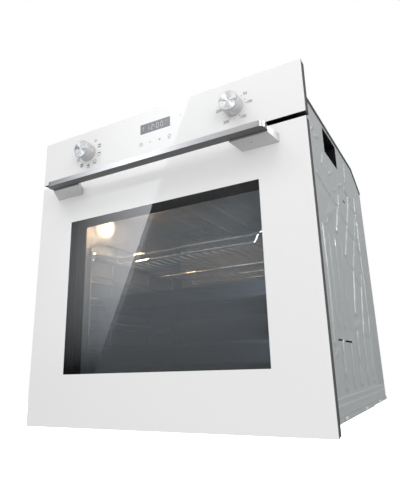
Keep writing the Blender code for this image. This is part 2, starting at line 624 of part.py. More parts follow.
def racks():
    """Side ladders: two uprights and pairs of level wires."""
    level_x = CAV - 0.008
    upright_x = CAV - 0.0037
    for name, sign in (("left_rack", -1), ("right_rack", 1)):
        top = LEVEL_FIRST + LEVEL_PITCH * (LEVELS - 1) + 0.030
        bottom = LEVEL_FIRST - LEVEL_PAIR - 0.006
        posts = [rod((sign * upright_x, depth, bottom), (sign * upright_x, depth, top), WIRE, 8)
                 for depth in (RACK_FRONT, RACK_REAR)]
        cap = rod((sign * upright_x, RACK_FRONT - 0.004, top),
                  (sign * upright_x, RACK_REAR + 0.004, top), WIRE, 8)
        heights = [LEVEL_FIRST + LEVEL_PITCH * level - drop
                   for level in range(LEVELS) for drop in (0.0, LEVEL_PAIR)]
        wires = [rod((sign * level_x, RACK_FRONT - 0.005, z), (sign * level_x, RACK_REAR + 0.005, z), WIRE, 8)
                 for z in heights]
        piece(name, CHROMED, [cap], join=[posts, wires])


def level_support(level):
    """Top of the lower wire of a level, where a shelf or tray rests."""
    return LEVEL_FIRST + LEVEL_PITCH * level - LEVEL_PAIR + WIRE + GAP


def wire_shelf():
    """Wire shelf on the top level: raised side rails and a lower platform of wires."""
    side = CAV - 0.0093
    rail_z = level_support(LEVELS - 1) + WIRE
    mid_z, low_z = rail_z - 0.0119, rail_z - 0.0260
    middle_half, bend = side - 0.0712, side - 0.0432
    pitch = (middle_half - 0.013) / 4.5
    outer_x, lift = side - 0.0382, 0.0013

    def bridge(depth):
        return [(-side, depth, rail_z), (-bend, depth, rail_z), (-middle_half, depth, mid_z),
                (middle_half, depth, mid_z), (bend, depth, rail_z), (side, depth, rail_z)]
    ring = bridge(SLIDE_FRONT + WIRE) + bridge(SLIDE_REAR - WIRE)[::-1]
    made = tube("wire_shelf", ring, WIRE, cyclic=True)
    ends = (SLIDE_FRONT + WIRE, SLIDE_REAR - WIRE)
    drops = [rod((x, depth, low_z - WIRE / 3), (x, depth, mid_z + WIRE / 3), WIRE * 0.8, 7)
             for x in (-4 * pitch, -pitch, pitch, 4 * pitch) for depth in ends]
    cross = [rod((-middle_half, depth, low_z), (middle_half, depth, low_z), WIRE, 8) for depth in ends]
    places = [(pitch * (i - 4.5), low_z + lift) for i in range(10)]
    places += [(-outer_x, rail_z + lift), (outer_x, rail_z + lift)]
    bars = [rod((x, ends[0] - 0.0012, z), (x, ends[1] + 0.0012, z), THIN_WIRE, 7) for x, z in places]
    work(made, join=[drops, cross, bars])
    finish(made, CHROMED)


def tray(name, level, depth_below, rim_height):
    """A pressed tray hung by its rim on one level of the side racks."""
    rim_z = level_support(level)
    side = CAV - 0.0070
    wall = 0.0012
    inset = 0.012
    floor = rim_z - depth_below

    def pressing(inward, heights):
        return block((inward - side, side - inward), (SLIDE_FRONT + inward, SLIDE_REAR - inward), heights)
    rim = pressing(0.0, (rim_z, rim_z + rim_height))
    pan = pressing(inset, (floor, rim_z + rim_height / 2))
    hollow = pressing(inset + wall, (floor + wall, rim_z + rim_height + 0.01))
    piece(name, ENAMELLED, [rim], join=[[pan]], cut=[[hollow]])


def fan_parts():
    """Fan baffle, ring heater, convection fan and its motor at the back of the cavity."""
    half, low, high, pitch = 0.160, CAVITY_FLOOR + 0.030, CAVITY_CEILING - 0.045, 0.032
    intake = [rod((x, BAFFLE - 0.01, FAN_Z + z), (x, BAFFLE + 0.01, FAN_Z + z), 0.009, 12)
              for x in (-pitch, 0, pitch) for z in (-pitch, 0, pitch)]
    plate = block((-half, half), (BAFFLE, CAVITY_REAR - GAP), (low, high))
    hollow = block((ENAMEL - half, half - ENAMEL), (BAFFLE + ENAMEL, CAVITY_REAR + 0.01),
                   (low + ENAMEL, high - ENAMEL))
    sides = [block((-half - 0.01, half + 0.01), (BAFFLE + 0.008, CAVITY_REAR - 0.008),
                   (z, z + 0.008)) for z in (low + 0.047, low + 0.077, high - 0.080, high - 0.050)]
    piece("fan_baffle", ENAMELLED, [plate], cut=[[hollow], sides, intake])
    ring_radius = high - FAN_Z - 0.044
    fan_radius = ring_radius - 0.028
    ring = [(x, CAVITY_REAR - 0.012, FAN_Z + z) for x, z in arc((0, 0), ring_radius, -80, 260, 34)]
    finish(tube("ring_heater", ring, HEATER), HEATER_STEEL, smooth=True)
    hub = rod((0, CAVITY_REAR - 0.026, FAN_Z), (0, CAVITY_REAR - 0.006, FAN_Z), 0.014, 20)
    disc = rod((0, CAVITY_REAR - 0.010, FAN_Z), (0, CAVITY_REAR - 0.009, FAN_Z), fan_radius, 32)
    shaft = rod((0, CAVITY_REAR - 0.008, FAN_Z), (0, CAVITY_REAR + 0.035, FAN_Z), 0.004, 16)

    def blade(turn):
        def draw(bm):
            start = len(bm.verts)
            block((0.010, fan_radius - 0.004), (CAVITY_REAR - 0.024, CAVITY_REAR - 0.0095),
                  (FAN_Z - 0.0006, FAN_Z + 0.0006))(bm)
            bm.verts.ensure_lookup_table()
            place = at(0, 0, FAN_Z)
            spin = Matrix.Rotation(turn, 3, "Y")
            bmesh.ops.rotate(bm, cent=place, matrix=spin, verts=bm.verts[start:])
        return draw
    blades = [blade(2 * math.pi * i / 9) for i in range(9)]
    fan = piece("convection_fan", GALVANISED, [hub], join=[[disc], [shaft], blades])
    fan.data.transform(Matrix.Translation(-at(0, 0, FAN_Z)))
    fan.location = at(0, 0, FAN_Z)
    first = CAVITY_REAR + ENAMEL + GAP + INSULATION + GAP
    can = rod((0, first, FAN_Z), (0, BODY_REAR - 0.006, FAN_Z), 0.036, 28)
    ears = block((-0.050, 0.050), (first, first + 0.002), (FAN_Z - 0.008, FAN_Z + 0.008))
    bore = rod((0, first - 0.01, FAN_Z), (0, CAVITY_REAR + 0.045, FAN_Z), 0.0046, 16)
    piece("fan_motor", GALVANISED, [can], join=[[ears]], cut=[[bore]])


def grill_and_base_heaters():
    """Looped heater tubes under the ceiling and below the cavity floor."""
    z = CAVITY_CEILING - 0.022
    inner, outer, bend = 0.085, 0.140, 0.012
    front, turn, rear = FRAME_DEPTH + 0.053, FRAME_DEPTH + 0.086, CAVITY_REAR - 0.078
    half = [(0.030, BAFFLE - 0.001), (0.030, turn + bend), (0.030 + bend, turn), (inner - bend, turn),
            (inner, turn + bend), (inner, rear - bend), (inner + bend, rear), (outer - bend, rear),
            (outer, rear - bend), (outer, front + bend), (outer - bend, front)]
    points = [(-x, depth, z) for x, depth in half] + [(x, depth, z) for x, depth in half[::-1]]
    finish(tube("grill_heater", points, HEATER), HEATER_STEEL, smooth=True)
    low = CAVITY_FLOOR - ENAMEL - 0.0052
    outer, bend, front, rear = 0.170, 0.020, FRAME_DEPTH + 0.068, CAVITY_REAR - 0.070
    half = [(0.030, rear), (outer - bend, rear), (outer, rear - bend),
            (outer, front + bend), (outer - bend, front)]
    loop = [(-x, depth, low) for x, depth in half] + [(x, depth, low) for x, depth in half[::-1]]
    finish(tube("bottom_heater", loop, HEATER), HEATER_STEEL, smooth=True)


def lamp():
    """Side lamp: holder outside the liner, bulb, and a glass dome inside the cavity."""
    depth, z = lamp_axis()
    inward = Matrix.Rotation(math.pi / 2, 4, "Y")
    wall = -CAV + GAP
    outer_radius, inner_radius, flatten, lift = 0.021, 0.019, 0.72, 0.004
    outer = arc((0, 0), outer_radius, 90, 0, 8)
    inner = arc((0, 0), inner_radius, 0, 90, 8)
    dome = [(r, h * flatten + lift) for r, h in outer] + [(outer_radius, 0.0), (inner_radius, 0.0)]
    dome += [(r, h * flatten + lift) for r, h in inner]
    dome[0] = (0.0, dome[0][1])
    dome[-1] = (0.0, dome[-1][1])
    turned("lamp_glass", LAMP_GLASS, dome, (wall, depth, z), axis=inward)
    bulb = [(0.0, 0.012), (0.004, 0.011), (0.0055, 0.007), (0.0055, -0.006), (0.0, -0.006)]
    turned("lamp_bulb", LAMP_GLASS, bulb, (wall, depth, z), axis=inward, sides=20)
    back = -CAV - ENAMEL - GAP
    holder = rod((back, depth, z), (-INSUL_OUT + 0.001, depth, z), 0.0190, 20)
    socket = rod((back + 0.01, depth, z), (back - 0.012, depth, z), 0.0065, 20)
    piece("lamp_holder", WHITE_PLASTIC, [holder], cut=[[socket]])


def cooling_fan():
    """Tangential blower above the cavity: housing, rotor with blades, and terminal block."""
    middle, z = 0.330, BODY_TOP - 0.046
    half, wall, below, above = 0.110, 0.0015, 0.0305, 0.031
    outer = block((-half - 0.030, half + 0.008), (middle - 0.034, middle + 0.030), (z - below, z + above))
    hollow = block((-half, half), (middle - 0.05, middle + 0.030 - wall), (z - below + wall, z + above - wall))
    bores = rod((-half - 0.015, middle, z), (half + 0.020, middle, z), 0.0043, 16)
    inlet = block((-half + 0.01, half - 0.01), (middle - 0.02, middle + 0.02), (z + 0.028, z + 0.035))
    piece("cooling_fan_housing", GALVANISED, [outer], cut=[[hollow], [bores], [inlet]])
    reach = half - 0.003
    shaft = rod((-half - 0.012, middle, z), (half + 0.006, middle, z), 0.004, 16)
    discs = [rod((x, middle, z), (x + 0.001, middle, z), 0.023, 28) for x in (-reach, -0.0005, reach - 0.001)]

    def vane(turn):
        def draw(bm):
            start = len(bm.verts)
            block((0.0005 - reach, reach - 0.0005), (middle + 0.016, middle + 0.0225),
                  (z - 0.0005, z + 0.0005))(bm)
            bm.verts.ensure_lookup_table()
            spin = Matrix.Rotation(turn, 3, "X")
            bmesh.ops.rotate(bm, cent=at(0, middle, z), matrix=spin, verts=bm.verts[start:])
        return draw
    vanes = [vane(2 * math.pi * i / 12) for i in range(12)]
    rotor = piece("cooling_fan_rotor", ALUMINIUM, [shaft], join=[discs, vanes])
    rotor.data.transform(Matrix.Translation(-at(0, middle, z)))
    rotor.location = at(0, middle, z)
    start, seat, pitch = SIDE - 0.099, CAVITY_CEILING + 0.032, 0.012
    posts = [block((x, x + 0.007), (BODY_REAR - 0.076, BODY_REAR - 0.060), (seat + 0.016, seat + 0.024))
             for x in (start + 0.010 + pitch * i for i in range(4))]
    base = block((start, start + 0.060), (BODY_REAR - 0.091, BODY_REAR - 0.046), (seat, seat + 0.018))
    piece("terminal_block", WHITE_PLASTIC, [base], join=[posts])


side_panels()
grip_cups()
top_cover()
rear_pieces()
base_pieces()
front_frame()
cavity()
control_panel()
knobs()
door_glass()
door_frame()
handle()
hinges()
racks()
wire_shelf()
tray("baking_tray", 2, 0.020, 0.0080)
tray("deep_tray", 0, 0.038, 0.0030)
fan_parts()
grill_and_base_heaters()
lamp()
cooling_fan()
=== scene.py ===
"""Looks of the built-in wall oven: detailed pieces, materials, studio and camera.

Depths are counted back from the front glass face, as in the CAD model; at() adds the face's place.
"""

import json
import math

import bmesh
import bpy
import numpy
from mathutils import Matrix, Vector


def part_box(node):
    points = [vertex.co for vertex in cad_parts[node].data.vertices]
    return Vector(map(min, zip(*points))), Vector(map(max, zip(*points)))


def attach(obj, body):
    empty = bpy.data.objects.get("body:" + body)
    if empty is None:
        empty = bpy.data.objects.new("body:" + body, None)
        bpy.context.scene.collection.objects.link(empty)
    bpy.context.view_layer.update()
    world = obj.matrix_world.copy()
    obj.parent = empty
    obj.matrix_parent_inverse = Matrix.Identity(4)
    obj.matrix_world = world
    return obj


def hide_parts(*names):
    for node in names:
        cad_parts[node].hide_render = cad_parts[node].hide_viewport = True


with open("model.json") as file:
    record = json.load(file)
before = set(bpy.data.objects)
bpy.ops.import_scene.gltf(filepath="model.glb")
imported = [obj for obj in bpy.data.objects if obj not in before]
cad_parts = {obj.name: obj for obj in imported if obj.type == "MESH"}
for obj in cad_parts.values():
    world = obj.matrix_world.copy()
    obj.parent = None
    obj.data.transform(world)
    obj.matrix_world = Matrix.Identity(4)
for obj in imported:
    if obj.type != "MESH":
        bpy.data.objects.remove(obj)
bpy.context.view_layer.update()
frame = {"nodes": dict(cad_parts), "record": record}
NODES = frame["nodes"]


# ---------------------------------------------------------------- places read from the frame
front_low, front_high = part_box("door_outer_glass")
FRONT = front_low.y
HALF, DOOR_TOP, GLASS = front_high.x, front_high.z, front_high.y - FRONT
PANEL_LOW, PANEL_HIGH = (corner.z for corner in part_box("control_glass"))
cap_low, cap_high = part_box("temperature_knob_cap")
KNOB_X, KNOB_Z = (cap_low.x + cap_high.x) / 2, (cap_low.z + cap_high.z) / 2
THROUGH = (-0.01, 0.02)    # depths that a cut through the front glass spans
PRINT = 0.00012            # thickness of screen print that stands on the glass

WINDOW_HALF = 0.208        # clear window in the white print of the door
WINDOW_LOW, WINDOW_HIGH = 0.092, 0.391
SHEET = 0.0009             # thickness of pressed sheet steel
SHARP = math.radians(35)   # edges that bend more than this stay crisp


def at(x, depth, z):
    return Vector((x, FRONT + depth, z))


# ---------------------------------------------------------------- materials
def spread(tree, value, start=0.0, stop=1.0, least=0.0, most=1.0):
    """Node output: a value between start and stop, moved to lie between least and most."""
    span = tree.nodes.new("ShaderNodeMapRange")
    for socket, number in zip(("From Min", "From Max", "To Min", "To Max"), (start, stop, least, most)):
        span.inputs[socket].default_value = number
    tree.links.new(value, span.inputs["Value"])
    return span.outputs["Result"]


class Paint:
    """A Principled material with its node tree at hand."""

    def __init__(self, name, colour, rough, metal=0.0, **sockets):
        self.material = bpy.data.materials.new(name)
        self.material.use_nodes = True
        self.tree = self.material.node_tree
        self.shader = self.tree.nodes["Principled BSDF"]
        self.shader.inputs["Base Color"].default_value = (*colour, 1.0)
        self.shader.inputs["Roughness"].default_value = rough
        self.shader.inputs["Metallic"].default_value = metal
        for socket, value in sockets.items():
            self.shader.inputs[socket.replace("_", " ")].default_value = value
        self.colour = colour
        self.rough = rough

    def add(self, kind, **values):
        node = self.tree.nodes.new(kind)
        for key, value in values.items():
            setattr(node, key, value)
        return node

    def link(self, source, target):
        self.tree.links.new(source, target)

    def coordinates(self, scale):
        place = self.add("ShaderNodeTexCoord")
        mapping = self.add("ShaderNodeMapping")
        mapping.inputs["Scale"].default_value = scale if isinstance(scale, tuple) else (scale,) * 3
        self.link(place.outputs["Object"], mapping.inputs["Vector"])
        return mapping.outputs["Vector"]

    def tint(self, strength, *sockets):
        """Sends the material's colour, times a strength, to the sockets."""
        scaled = self.add("ShaderNodeVectorMath", operation="SCALE")
        scaled.inputs[0].default_value = self.colour
        self.link(strength, scaled.inputs["Scale"])
        for socket in sockets:
            self.link(scaled.outputs["Vector"], self.shader.inputs[socket])

    def grain(self, scale, colour=0.0, rough=0.0, bump=0.0, kind="ShaderNodeTexNoise"):
        """Noise along the object's axes that varies colour, roughness and relief."""
        texture = self.add(kind)
        texture.inputs["Detail"].default_value = 3.0
        texture.inputs["Scale"].default_value = 1.0
        self.link(self.coordinates(scale), texture.inputs["Vector"])
        if kind == "ShaderNodeTexVoronoi":
            split = self.add("ShaderNodeSeparateColor")
            self.link(texture.outputs["Color"], split.inputs["Color"])
            value = split.outputs["Red"]
        else:
            value = texture.outputs["Fac"]
        if colour:
            self.tint(spread(self.tree, value, least=1.0 - colour, most=1.0 + colour), "Base Color")
        if rough:
            varied = spread(self.tree, value, least=max(0.0, self.rough - rough), most=self.rough + rough)
            self.link(varied, self.shader.inputs["Roughness"])
        if bump:
            self.relief(value, bump)
        return self

    def relief(self, height, distance):
        """Bump from a height value; distance is its full depth in metres."""
        bump = self.add("ShaderNodeBump")
        bump.inputs["Strength"].default_value = 1.0
        bump.inputs["Distance"].default_value = distance
        self.link(height, bump.inputs["Height"])
        self.link(bump.outputs["Normal"], self.shader.inputs["Normal"])

    def fade_upwards(self, bottom, top, dark, bright):
        """Painted light: a tint that gets lighter from one height to another."""
        place = self.add("ShaderNodeTexCoord")
        split = self.add("ShaderNodeSeparateXYZ")
        self.link(place.outputs["Object"], split.inputs["Vector"])
        self.tint(spread(self.tree, split.outputs["Z"], bottom, top, dark, bright), "Base Color")

    def facets(self, scale, distance):
        """Pressed glass: a cell pattern that dims the glow along its borders."""
        cells = self.add("ShaderNodeTexVoronoi")
        cells.inputs["Scale"].default_value = 1.0
        self.link(self.coordinates(scale), cells.inputs["Vector"])
        glow = spread(self.tree, cells.outputs["Distance"], least=1.15, most=0.35)
        self.tint(glow, "Base Color", "Emission Color")
        self.relief(cells.outputs["Distance"], distance)


def make_paints():
    """Every material of the oven, by a short key."""
    paints = {}

    def keep(key, name, colour, rough, metal=0.0, **sockets):
        paint = Paint(name, colour, rough, metal, **sockets)
        paints[key] = paint.material
        return paint

    keep("white_glass", "white_printed_glass", (0.80, 0.80, 0.80), 0.38, Coat_Weight=0.45,
         Coat_Roughness=0.012, Coat_IOR=1.5).grain(9, colour=0.006, rough=0.03)
    keep("glass_edge", "dark_glass_edge", (0.012, 0.014, 0.014), 0.20).grain(60, colour=0.10)
    keep("window", "window_glass", (0.010, 0.011, 0.013), 0.012, IOR=3.3, Alpha=0.26).grain(4, rough=0.006)
    keep("middle_glass", "middle_pane_glass", (0.02, 0.022, 0.025), 0.012, IOR=3.3,
         Alpha=0.16).grain(4, rough=0.006)
    keep("clear_face", "clear_glass_face", (0.02, 0.022, 0.025), 0.02, IOR=1.5,
         Alpha=0.02).grain(4, rough=0.006)
    # Inner pane: its milky blue tint stands in for the hazy reflection seen in the window, and it lightens
    # upwards; both are painted reflection.
    keep("inner_glass", "hazy_pane_painted_light", (0.60, 0.69, 0.77), 0.05, IOR=1.6,
         Alpha=0.32).fade_upwards(0.05, 0.42, 0.50, 1.30)
    keep("black_print", "black_screen_print", (0.006, 0.006, 0.007), 0.25,
         Coat_Weight=0.6).grain(40, colour=0.15, rough=0.04)
    keep("galvanised", "galvanised_steel", (0.50, 0.525, 0.53), 0.36, 0.85).grain(
        150, colour=0.07, rough=0.06, kind="ShaderNodeTexVoronoi")
    keep("black_steel", "black_painted_steel", (0.012, 0.012, 0.013), 0.45).grain(
        900, colour=0.2, rough=0.08, bump=0.00004)
    keep("enamel", "grey_enamel", (0.085, 0.095, 0.110), 0.50, Coat_Weight=0.15,
         Coat_Roughness=0.45).grain(420, colour=0.35, rough=0.05, bump=0.00003)
    keep("tray_enamel", "tray_enamel", (0.045, 0.050, 0.058), 0.22, Coat_Weight=0.7,
         Coat_Roughness=0.10).grain(380, colour=0.35, rough=0.05, bump=0.00003)
    brushed = (6, 900, 900)
    keep("aluminium", "satin_aluminium", (0.66, 0.66, 0.665), 0.30, 1.0).grain(
        brushed, colour=0.04, rough=0.05)
    # Painted shade: a darker copy of the satin aluminium, for the handle bar's underside.
    keep("painted_shade_aluminium", "painted_shade_aluminium", (0.14, 0.14, 0.143), 0.38, 1.0).grain(
        brushed, colour=0.04, rough=0.05)
    keep("chrome", "chromed_wire", (0.78, 0.77, 0.75), 0.16, 1.0).grain(300, colour=0.05, rough=0.05)
    keep("heater", "oxidised_heater", (0.10, 0.085, 0.075), 0.42, 0.7).grain(260, colour=0.4, rough=0.12)
    keep("wool", "mineral_wool", (0.55, 0.48, 0.30), 0.95).grain(240, colour=0.3, bump=0.002)
    keep("seal", "silicone_seal", (0.025, 0.025, 0.027), 0.65).grain(300, colour=0.2, bump=0.0001)
    keep("plastic", "black_moulded_plastic", (0.010, 0.010, 0.011), 0.42).grain(
        1100, colour=0.2, rough=0.06, bump=0.00006)
    keep("ceramic", "white_moulding", (0.72, 0.70, 0.64), 0.45).grain(500, colour=0.06, bump=0.00003)
    keep("board", "circuit_board", (0.02, 0.13, 0.06), 0.40).grain(160, colour=0.4, rough=0.1)
    keep("ink", "grey_ink", (0.035, 0.035, 0.038), 0.45).grain(800, colour=0.08)
    keep("display", "display_glass", (0.060, 0.061, 0.064), 0.18, Coat_Weight=0.6,
         Coat_Roughness=0.03).grain(30, colour=0.10)
    lit = keep("digits", "lit_digits", (0.50, 0.52, 0.54), 0.4, Emission_Strength=0.16)
    lit.shader.inputs["Emission Color"].default_value = (0.86, 0.94, 1.0, 1.0)
    lit.grain(2500, colour=0.05)
    keep("lamp_glow", "lamp_glass_glowing", (1.0, 0.86, 0.62), 0.20,
         Emission_Strength=3.2).facets(90, 0.0025)
    spun = keep("spun", "spun_aluminium", (0.76, 0.76, 0.76), 0.26, 1.0, Anisotropic=1.0)
    tangent = spun.add("ShaderNodeTangent", direction_type="RADIAL", axis="Z")
    spun.link(tangent.outputs["Tangent"], spun.shader.inputs["Tangent"])
    spun.grain(900, colour=0.03, rough=0.02)
    keep("satin", "satin_silver", (0.66, 0.66, 0.66), 0.42, 0.6).grain(700, colour=0.04, rough=0.05)
    return paints


PAINT = make_paints()
SLOT_PAINT = {
    "white_glass": "white_glass", "clear_glass": "inner_glass", "galvanised": "galvanised",
    "black_steel": "black_steel", "enamel": "enamel", "aluminium": "aluminium", "spun_aluminium": "spun",
    "chrome_wire": "chrome", "heater": "heater", "mineral_wool": "wool", "seal": "seal",
    "black_plastic": "plastic", "white_plastic": "ceramic", "circuit_board": "board",
    "lamp_glass": "lamp_glow",
}


def dress_nodes():
    """Every CAD node gets the procedural material of its slot."""
    special = {"door_middle_glass": "middle_glass"}
    for entry in frame["record"]["subparts"]:
        name = entry["node"]
        node = NODES[name]
        node.data.materials.clear()
        node.data.materials.append(PAINT[special.get(name, SLOT_PAINT[entry["material_slot"]])])


# ---------------------------------------------------------------- modelling helpers
def block(x, depth, z):
    """A box between two values each of x, depth and z."""
    def draw(bm):
        size = Vector((x[1] - x[0], depth[1] - depth[0], z[1] - z[0]))
        middle = at((x[0] + x[1]) / 2, (depth[0] + depth[1]) / 2, (z[0] + z[1]) / 2)
        place = Matrix.Translation(middle) @ Matrix.Diagonal((*size, 1.0))
        bmesh.ops.create_cube(bm, size=1.0, matrix=place)
    return draw


def rod(start, end, radius, sides=20, end_radius=None):
    def draw(bm):
        a, b = at(*start), at(*end)
        turn = (b - a).to_track_quat("Z", "Y").to_matrix().to_4x4()
        second = radius if end_radius is None else end_radius
        bmesh.ops.create_cone(bm, cap_ends=True, segments=sides, radius1=radius, radius2=second,
                              depth=(b - a).length, matrix=Matrix.Translation((a + b) / 2) @ turn)
    return draw


def link_object(name, data):
    made = bpy.data.objects.new(name, data)
    bpy.context.scene.collection.objects.link(made)
    return made


def finish_mesh(name, bm):
    mesh = bpy.data.meshes.new(name)
    bm.to_mesh(mesh)
    bm.free()
    return link_object(name, mesh)


def mesh_piece(name, shapes):
    bm = bmesh.new()
    for draw in shapes:
        draw(bm)
    return finish_mesh(name, bm)


def settle(made, body, paint, stands_for=(), bevel=0.0, smooth=True):
    """Material, rounded edges, smooth shading and body of a finished piece; hides the CAD parts it stands
    for.
    """
    made.data.materials.clear()
    made.data.materials.append(PAINT[paint])
    if bevel:
        edge = made.modifiers.new("edges", "BEVEL")
        edge.width = bevel
        edge.segments = 3
        edge.limit_method = "ANGLE"
        edge.angle_limit = SHARP
    if smooth:
        made.data.shade_smooth()
        made.data.set_sharp_from_angle(angle=SHARP)
    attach(made, body)
    if stands_for:
        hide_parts(*stands_for)


def evaluated_mesh(made):
    """A new mesh of an object with its modifiers applied."""
    bpy.context.view_layer.update()
    return bpy.data.meshes.new_from_object(made.evaluated_get(bpy.context.evaluated_depsgraph_get()))


def cut(target, shapes):
    """Cuts solids from the target, and applies the cut."""
    tool = mesh_piece(target.name + "_cutter", shapes)
    step = target.modifiers.new("cut", "BOOLEAN")
    step.operation = "DIFFERENCE"
    step.solver = "EXACT"
    step.object = tool
    bake(target)
    bpy.data.objects.remove(tool, do_unlink=True)


def bake(made):
    """Applies the modifiers of a mesh object."""
    mesh = evaluated_mesh(made)
    made.modifiers.clear()
    old = made.data
    made.data = mesh
    bpy.data.meshes.remove(old)


def thicken(made):
    """Gives a surface the thickness of sheet steel, on its inner side."""
    shell = made.modifiers.new("wall", "SOLIDIFY")
    shell.thickness = SHEET
    shell.offset = -1
    bake(made)


def arc(centre, radius, start, stop, steps):
    """Points (a, b) along an arc between two angles in degrees."""
    points = []
    for i in range(steps + 1):
        angle = math.radians(start + (stop - start) * i / steps)
        points.append((centre[0] + radius * math.cos(angle), centre[1] + radius * math.sin(angle)))
    return points


def rounded(points, radius, steps=5, closed=False):
    """A path of 3-D points with its corners rounded."""
    path = []
    count = len(points)
    for i, point in enumerate(points):
        if not closed and i in (0, count - 1):
            path.append(Vector(point))
            continue
        here = Vector(point)
        before, after = Vector(points[i - 1]), Vector(points[(i + 1) % count])
        back, ahead = before - here, after - here
        reach = min(radius, back.length * 0.45, ahead.length * 0.45)
        start, end = here + back.normalized() * reach, here + ahead.normalized() * reach
        for k in range(steps + 1):
            t = k / steps
            path.append(start.lerp(here, t).lerp(here.lerp(end, t), t))
    return path


def wire(name, paths, radius, cyclic=False, sides=3):
    """Round wire along one or more paths of (x, depth, z) points."""
    data = bpy.data.curves.new(name, "CURVE")
    data.dimensions = "3D"
    data.bevel_depth = radius
    data.bevel_resolution = sides
    data.use_fill_caps = not cyclic
    for path in paths:
        spline = data.splines.new("POLY")
        spline.points.add(len(path) - 1)
        for point, co in zip(spline.points, path):
            point.co = (*at(*co), 1.0)
        spline.use_cyclic_u = cyclic
    return link_object(name, data)


def wires_to_mesh(name, curves):
    """Several wire curves joined as one mesh piece."""
    bm = bmesh.new()
    for curve in curves:
        mesh = evaluated_mesh(curve)
        bm.from_mesh(mesh)
        bpy.data.meshes.remove(mesh)
        bpy.data.objects.remove(curve, do_unlink=True)
    bmesh.ops.remove_doubles(bm, verts=bm.verts, dist=1e-6)
    return finish_mesh(name, bm)


def turned(name, profile, centre, sides=96, closed=False):
    """A turned piece about an axis that runs forwards; profile of (radius, height in front)."""
    mesh = bpy.data.meshes.new(name)
    count = len(profile)
    edges = [(i, i + 1) for i in range(count - 1)]
    if closed:
        edges.append((count - 1, 0))
    mesh.from_pydata([(radius, 0.0, height) for radius, height in profile], edges, [])
    made = link_object(name, mesh)
    made.matrix_world = Matrix.Translation(at(*centre)) @ Matrix.Rotation(math.pi / 2, 4, "X")
    screw = made.modifiers.new("turn", "SCREW")
    screw.axis = "Z"
    screw.steps = sides
    screw.render_steps = sides
    screw.use_merge_vertices = True
    screw.merge_threshold = 1e-5
    screw.use_smooth_shade = True
    bake(made)
    return made


# ---------------------------------------------------------------- door and panel glass
SCREW_X, SCREW_Z, SCREW_HOLE = 0.205, 0.455, 0.0029     # the handle's screws
SHAFT_HOLE = 0.005
PANE_GAP = 0.0002          # clearance round the clear pane, inside the white print
FRAME_HALF, FRAME_LOW, FRAME_HIGH = 0.2085, 0.0905, 0.391    # opening in the inner pane's black border


def second_paint(made, paint, chosen):
    """Gives the faces that a test picks, by their normal, a second material."""
    made.data.materials.append(PAINT[paint])
    for face in made.data.polygons:
        if chosen(face.normal):
            face.material_index = len(made.data.materials) - 1


def darken_edges(made):
    """The cut edges of a pane are dark, unlike its printed faces."""
    second_paint(made, "glass_edge", lambda normal: abs(normal.y) < 0.5)


def coat_front(made):
    """Only the front face of a pane keeps the pane's tint; on the inner pane that tint is painted light."""
    second_paint(made, "clear_face", lambda normal: normal.y > -0.5)


def door_glass():
    """White-printed pane with its clear window, and the printed panes behind it."""
    white = mesh_piece("door_front", [block((-HALF, HALF), (0, GLASS), (0, DOOR_TOP))])
    cut(white, [block((-WINDOW_HALF, WINDOW_HALF), THROUGH, (WINDOW_LOW, WINDOW_HIGH))])
    cut(white, [rod((x, THROUGH[0], SCREW_Z), (x, THROUGH[1], SCREW_Z), SCREW_HOLE, 24)
                for x in (-SCREW_X, SCREW_X)])
    settle(white, "door", "white_glass", ["door_outer_glass"], bevel=0.0004)
    darken_edges(white)
    pane = mesh_piece("door_window", [block((-WINDOW_HALF + PANE_GAP, WINDOW_HALF - PANE_GAP),
                                            (0.0001, GLASS - 0.0002),
                                            (WINDOW_LOW + PANE_GAP, WINDOW_HIGH - PANE_GAP))])
    settle(pane, "door", "window")
    for glass in (pane, NODES["door_middle_glass"], NODES["door_inner_glass"]):
        coat_front(glass)
    a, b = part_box("door_inner_glass")
    back = a[1] - FRONT
    border = mesh_piece("inner_pane_print", [
        block((a[0] + 0.001, b[0] - 0.001), (back - 0.0002, back - 0.00005), (a[2] + 0.001, b[2] - 0.001))])
    cut(border, [block((-FRAME_HALF, FRAME_HALF), (back - 0.01, back + 0.01), (FRAME_LOW, FRAME_HIGH))])
    settle(border, "door", "black_print", smooth=False)


def control_glass():
    """White panel pane with the holes for the two knob shafts."""
    panel = mesh_piece("panel_front", [block((-HALF, HALF), (0, GLASS), (PANEL_LOW, PANEL_HIGH))])
    cut(panel, [rod((x, THROUGH[0], KNOB_Z), (x, THROUGH[1], KNOB_Z), SHAFT_HOLE, 32)
                for x in (-KNOB_X, KNOB_X)])
    settle(panel, "oven_body", "white_glass", ["control_glass"], bevel=0.0004)
    darken_edges(panel)


# ---------------------------------------------------------------- print and display
def stroke(start, end, width):
    """A flat printed line on the glass between two (x, z) points."""
    def draw(bm):
        a, b = Vector((start[0], 0, start[1])), Vector((end[0], 0, end[1]))
        along = (b - a).normalized()
        turn = Matrix((along, (0, 1, 0), along.cross(Vector((0, 1, 0))))).transposed().to_4x4()
        middle = Matrix.Translation((a + b) / 2 + Vector((0, FRONT - PRINT / 2, 0)))
        size = Matrix.Diagonal(((b - a).length, PRINT, width, 1.0))
        bmesh.ops.create_cube(bm, size=1.0, matrix=middle @ turn @ size)
    return draw


def dot(centre, radius):
    return rod((centre[0], -PRINT, centre[1]), (centre[0], 0, centre[1]), radius, 16)


def loop(centre, radius, width, start=0, stop=360, steps=24):
    points = arc(centre, radius, start, stop, steps)
    return [stroke(a, b, width) for a, b in zip(points, points[1:])]


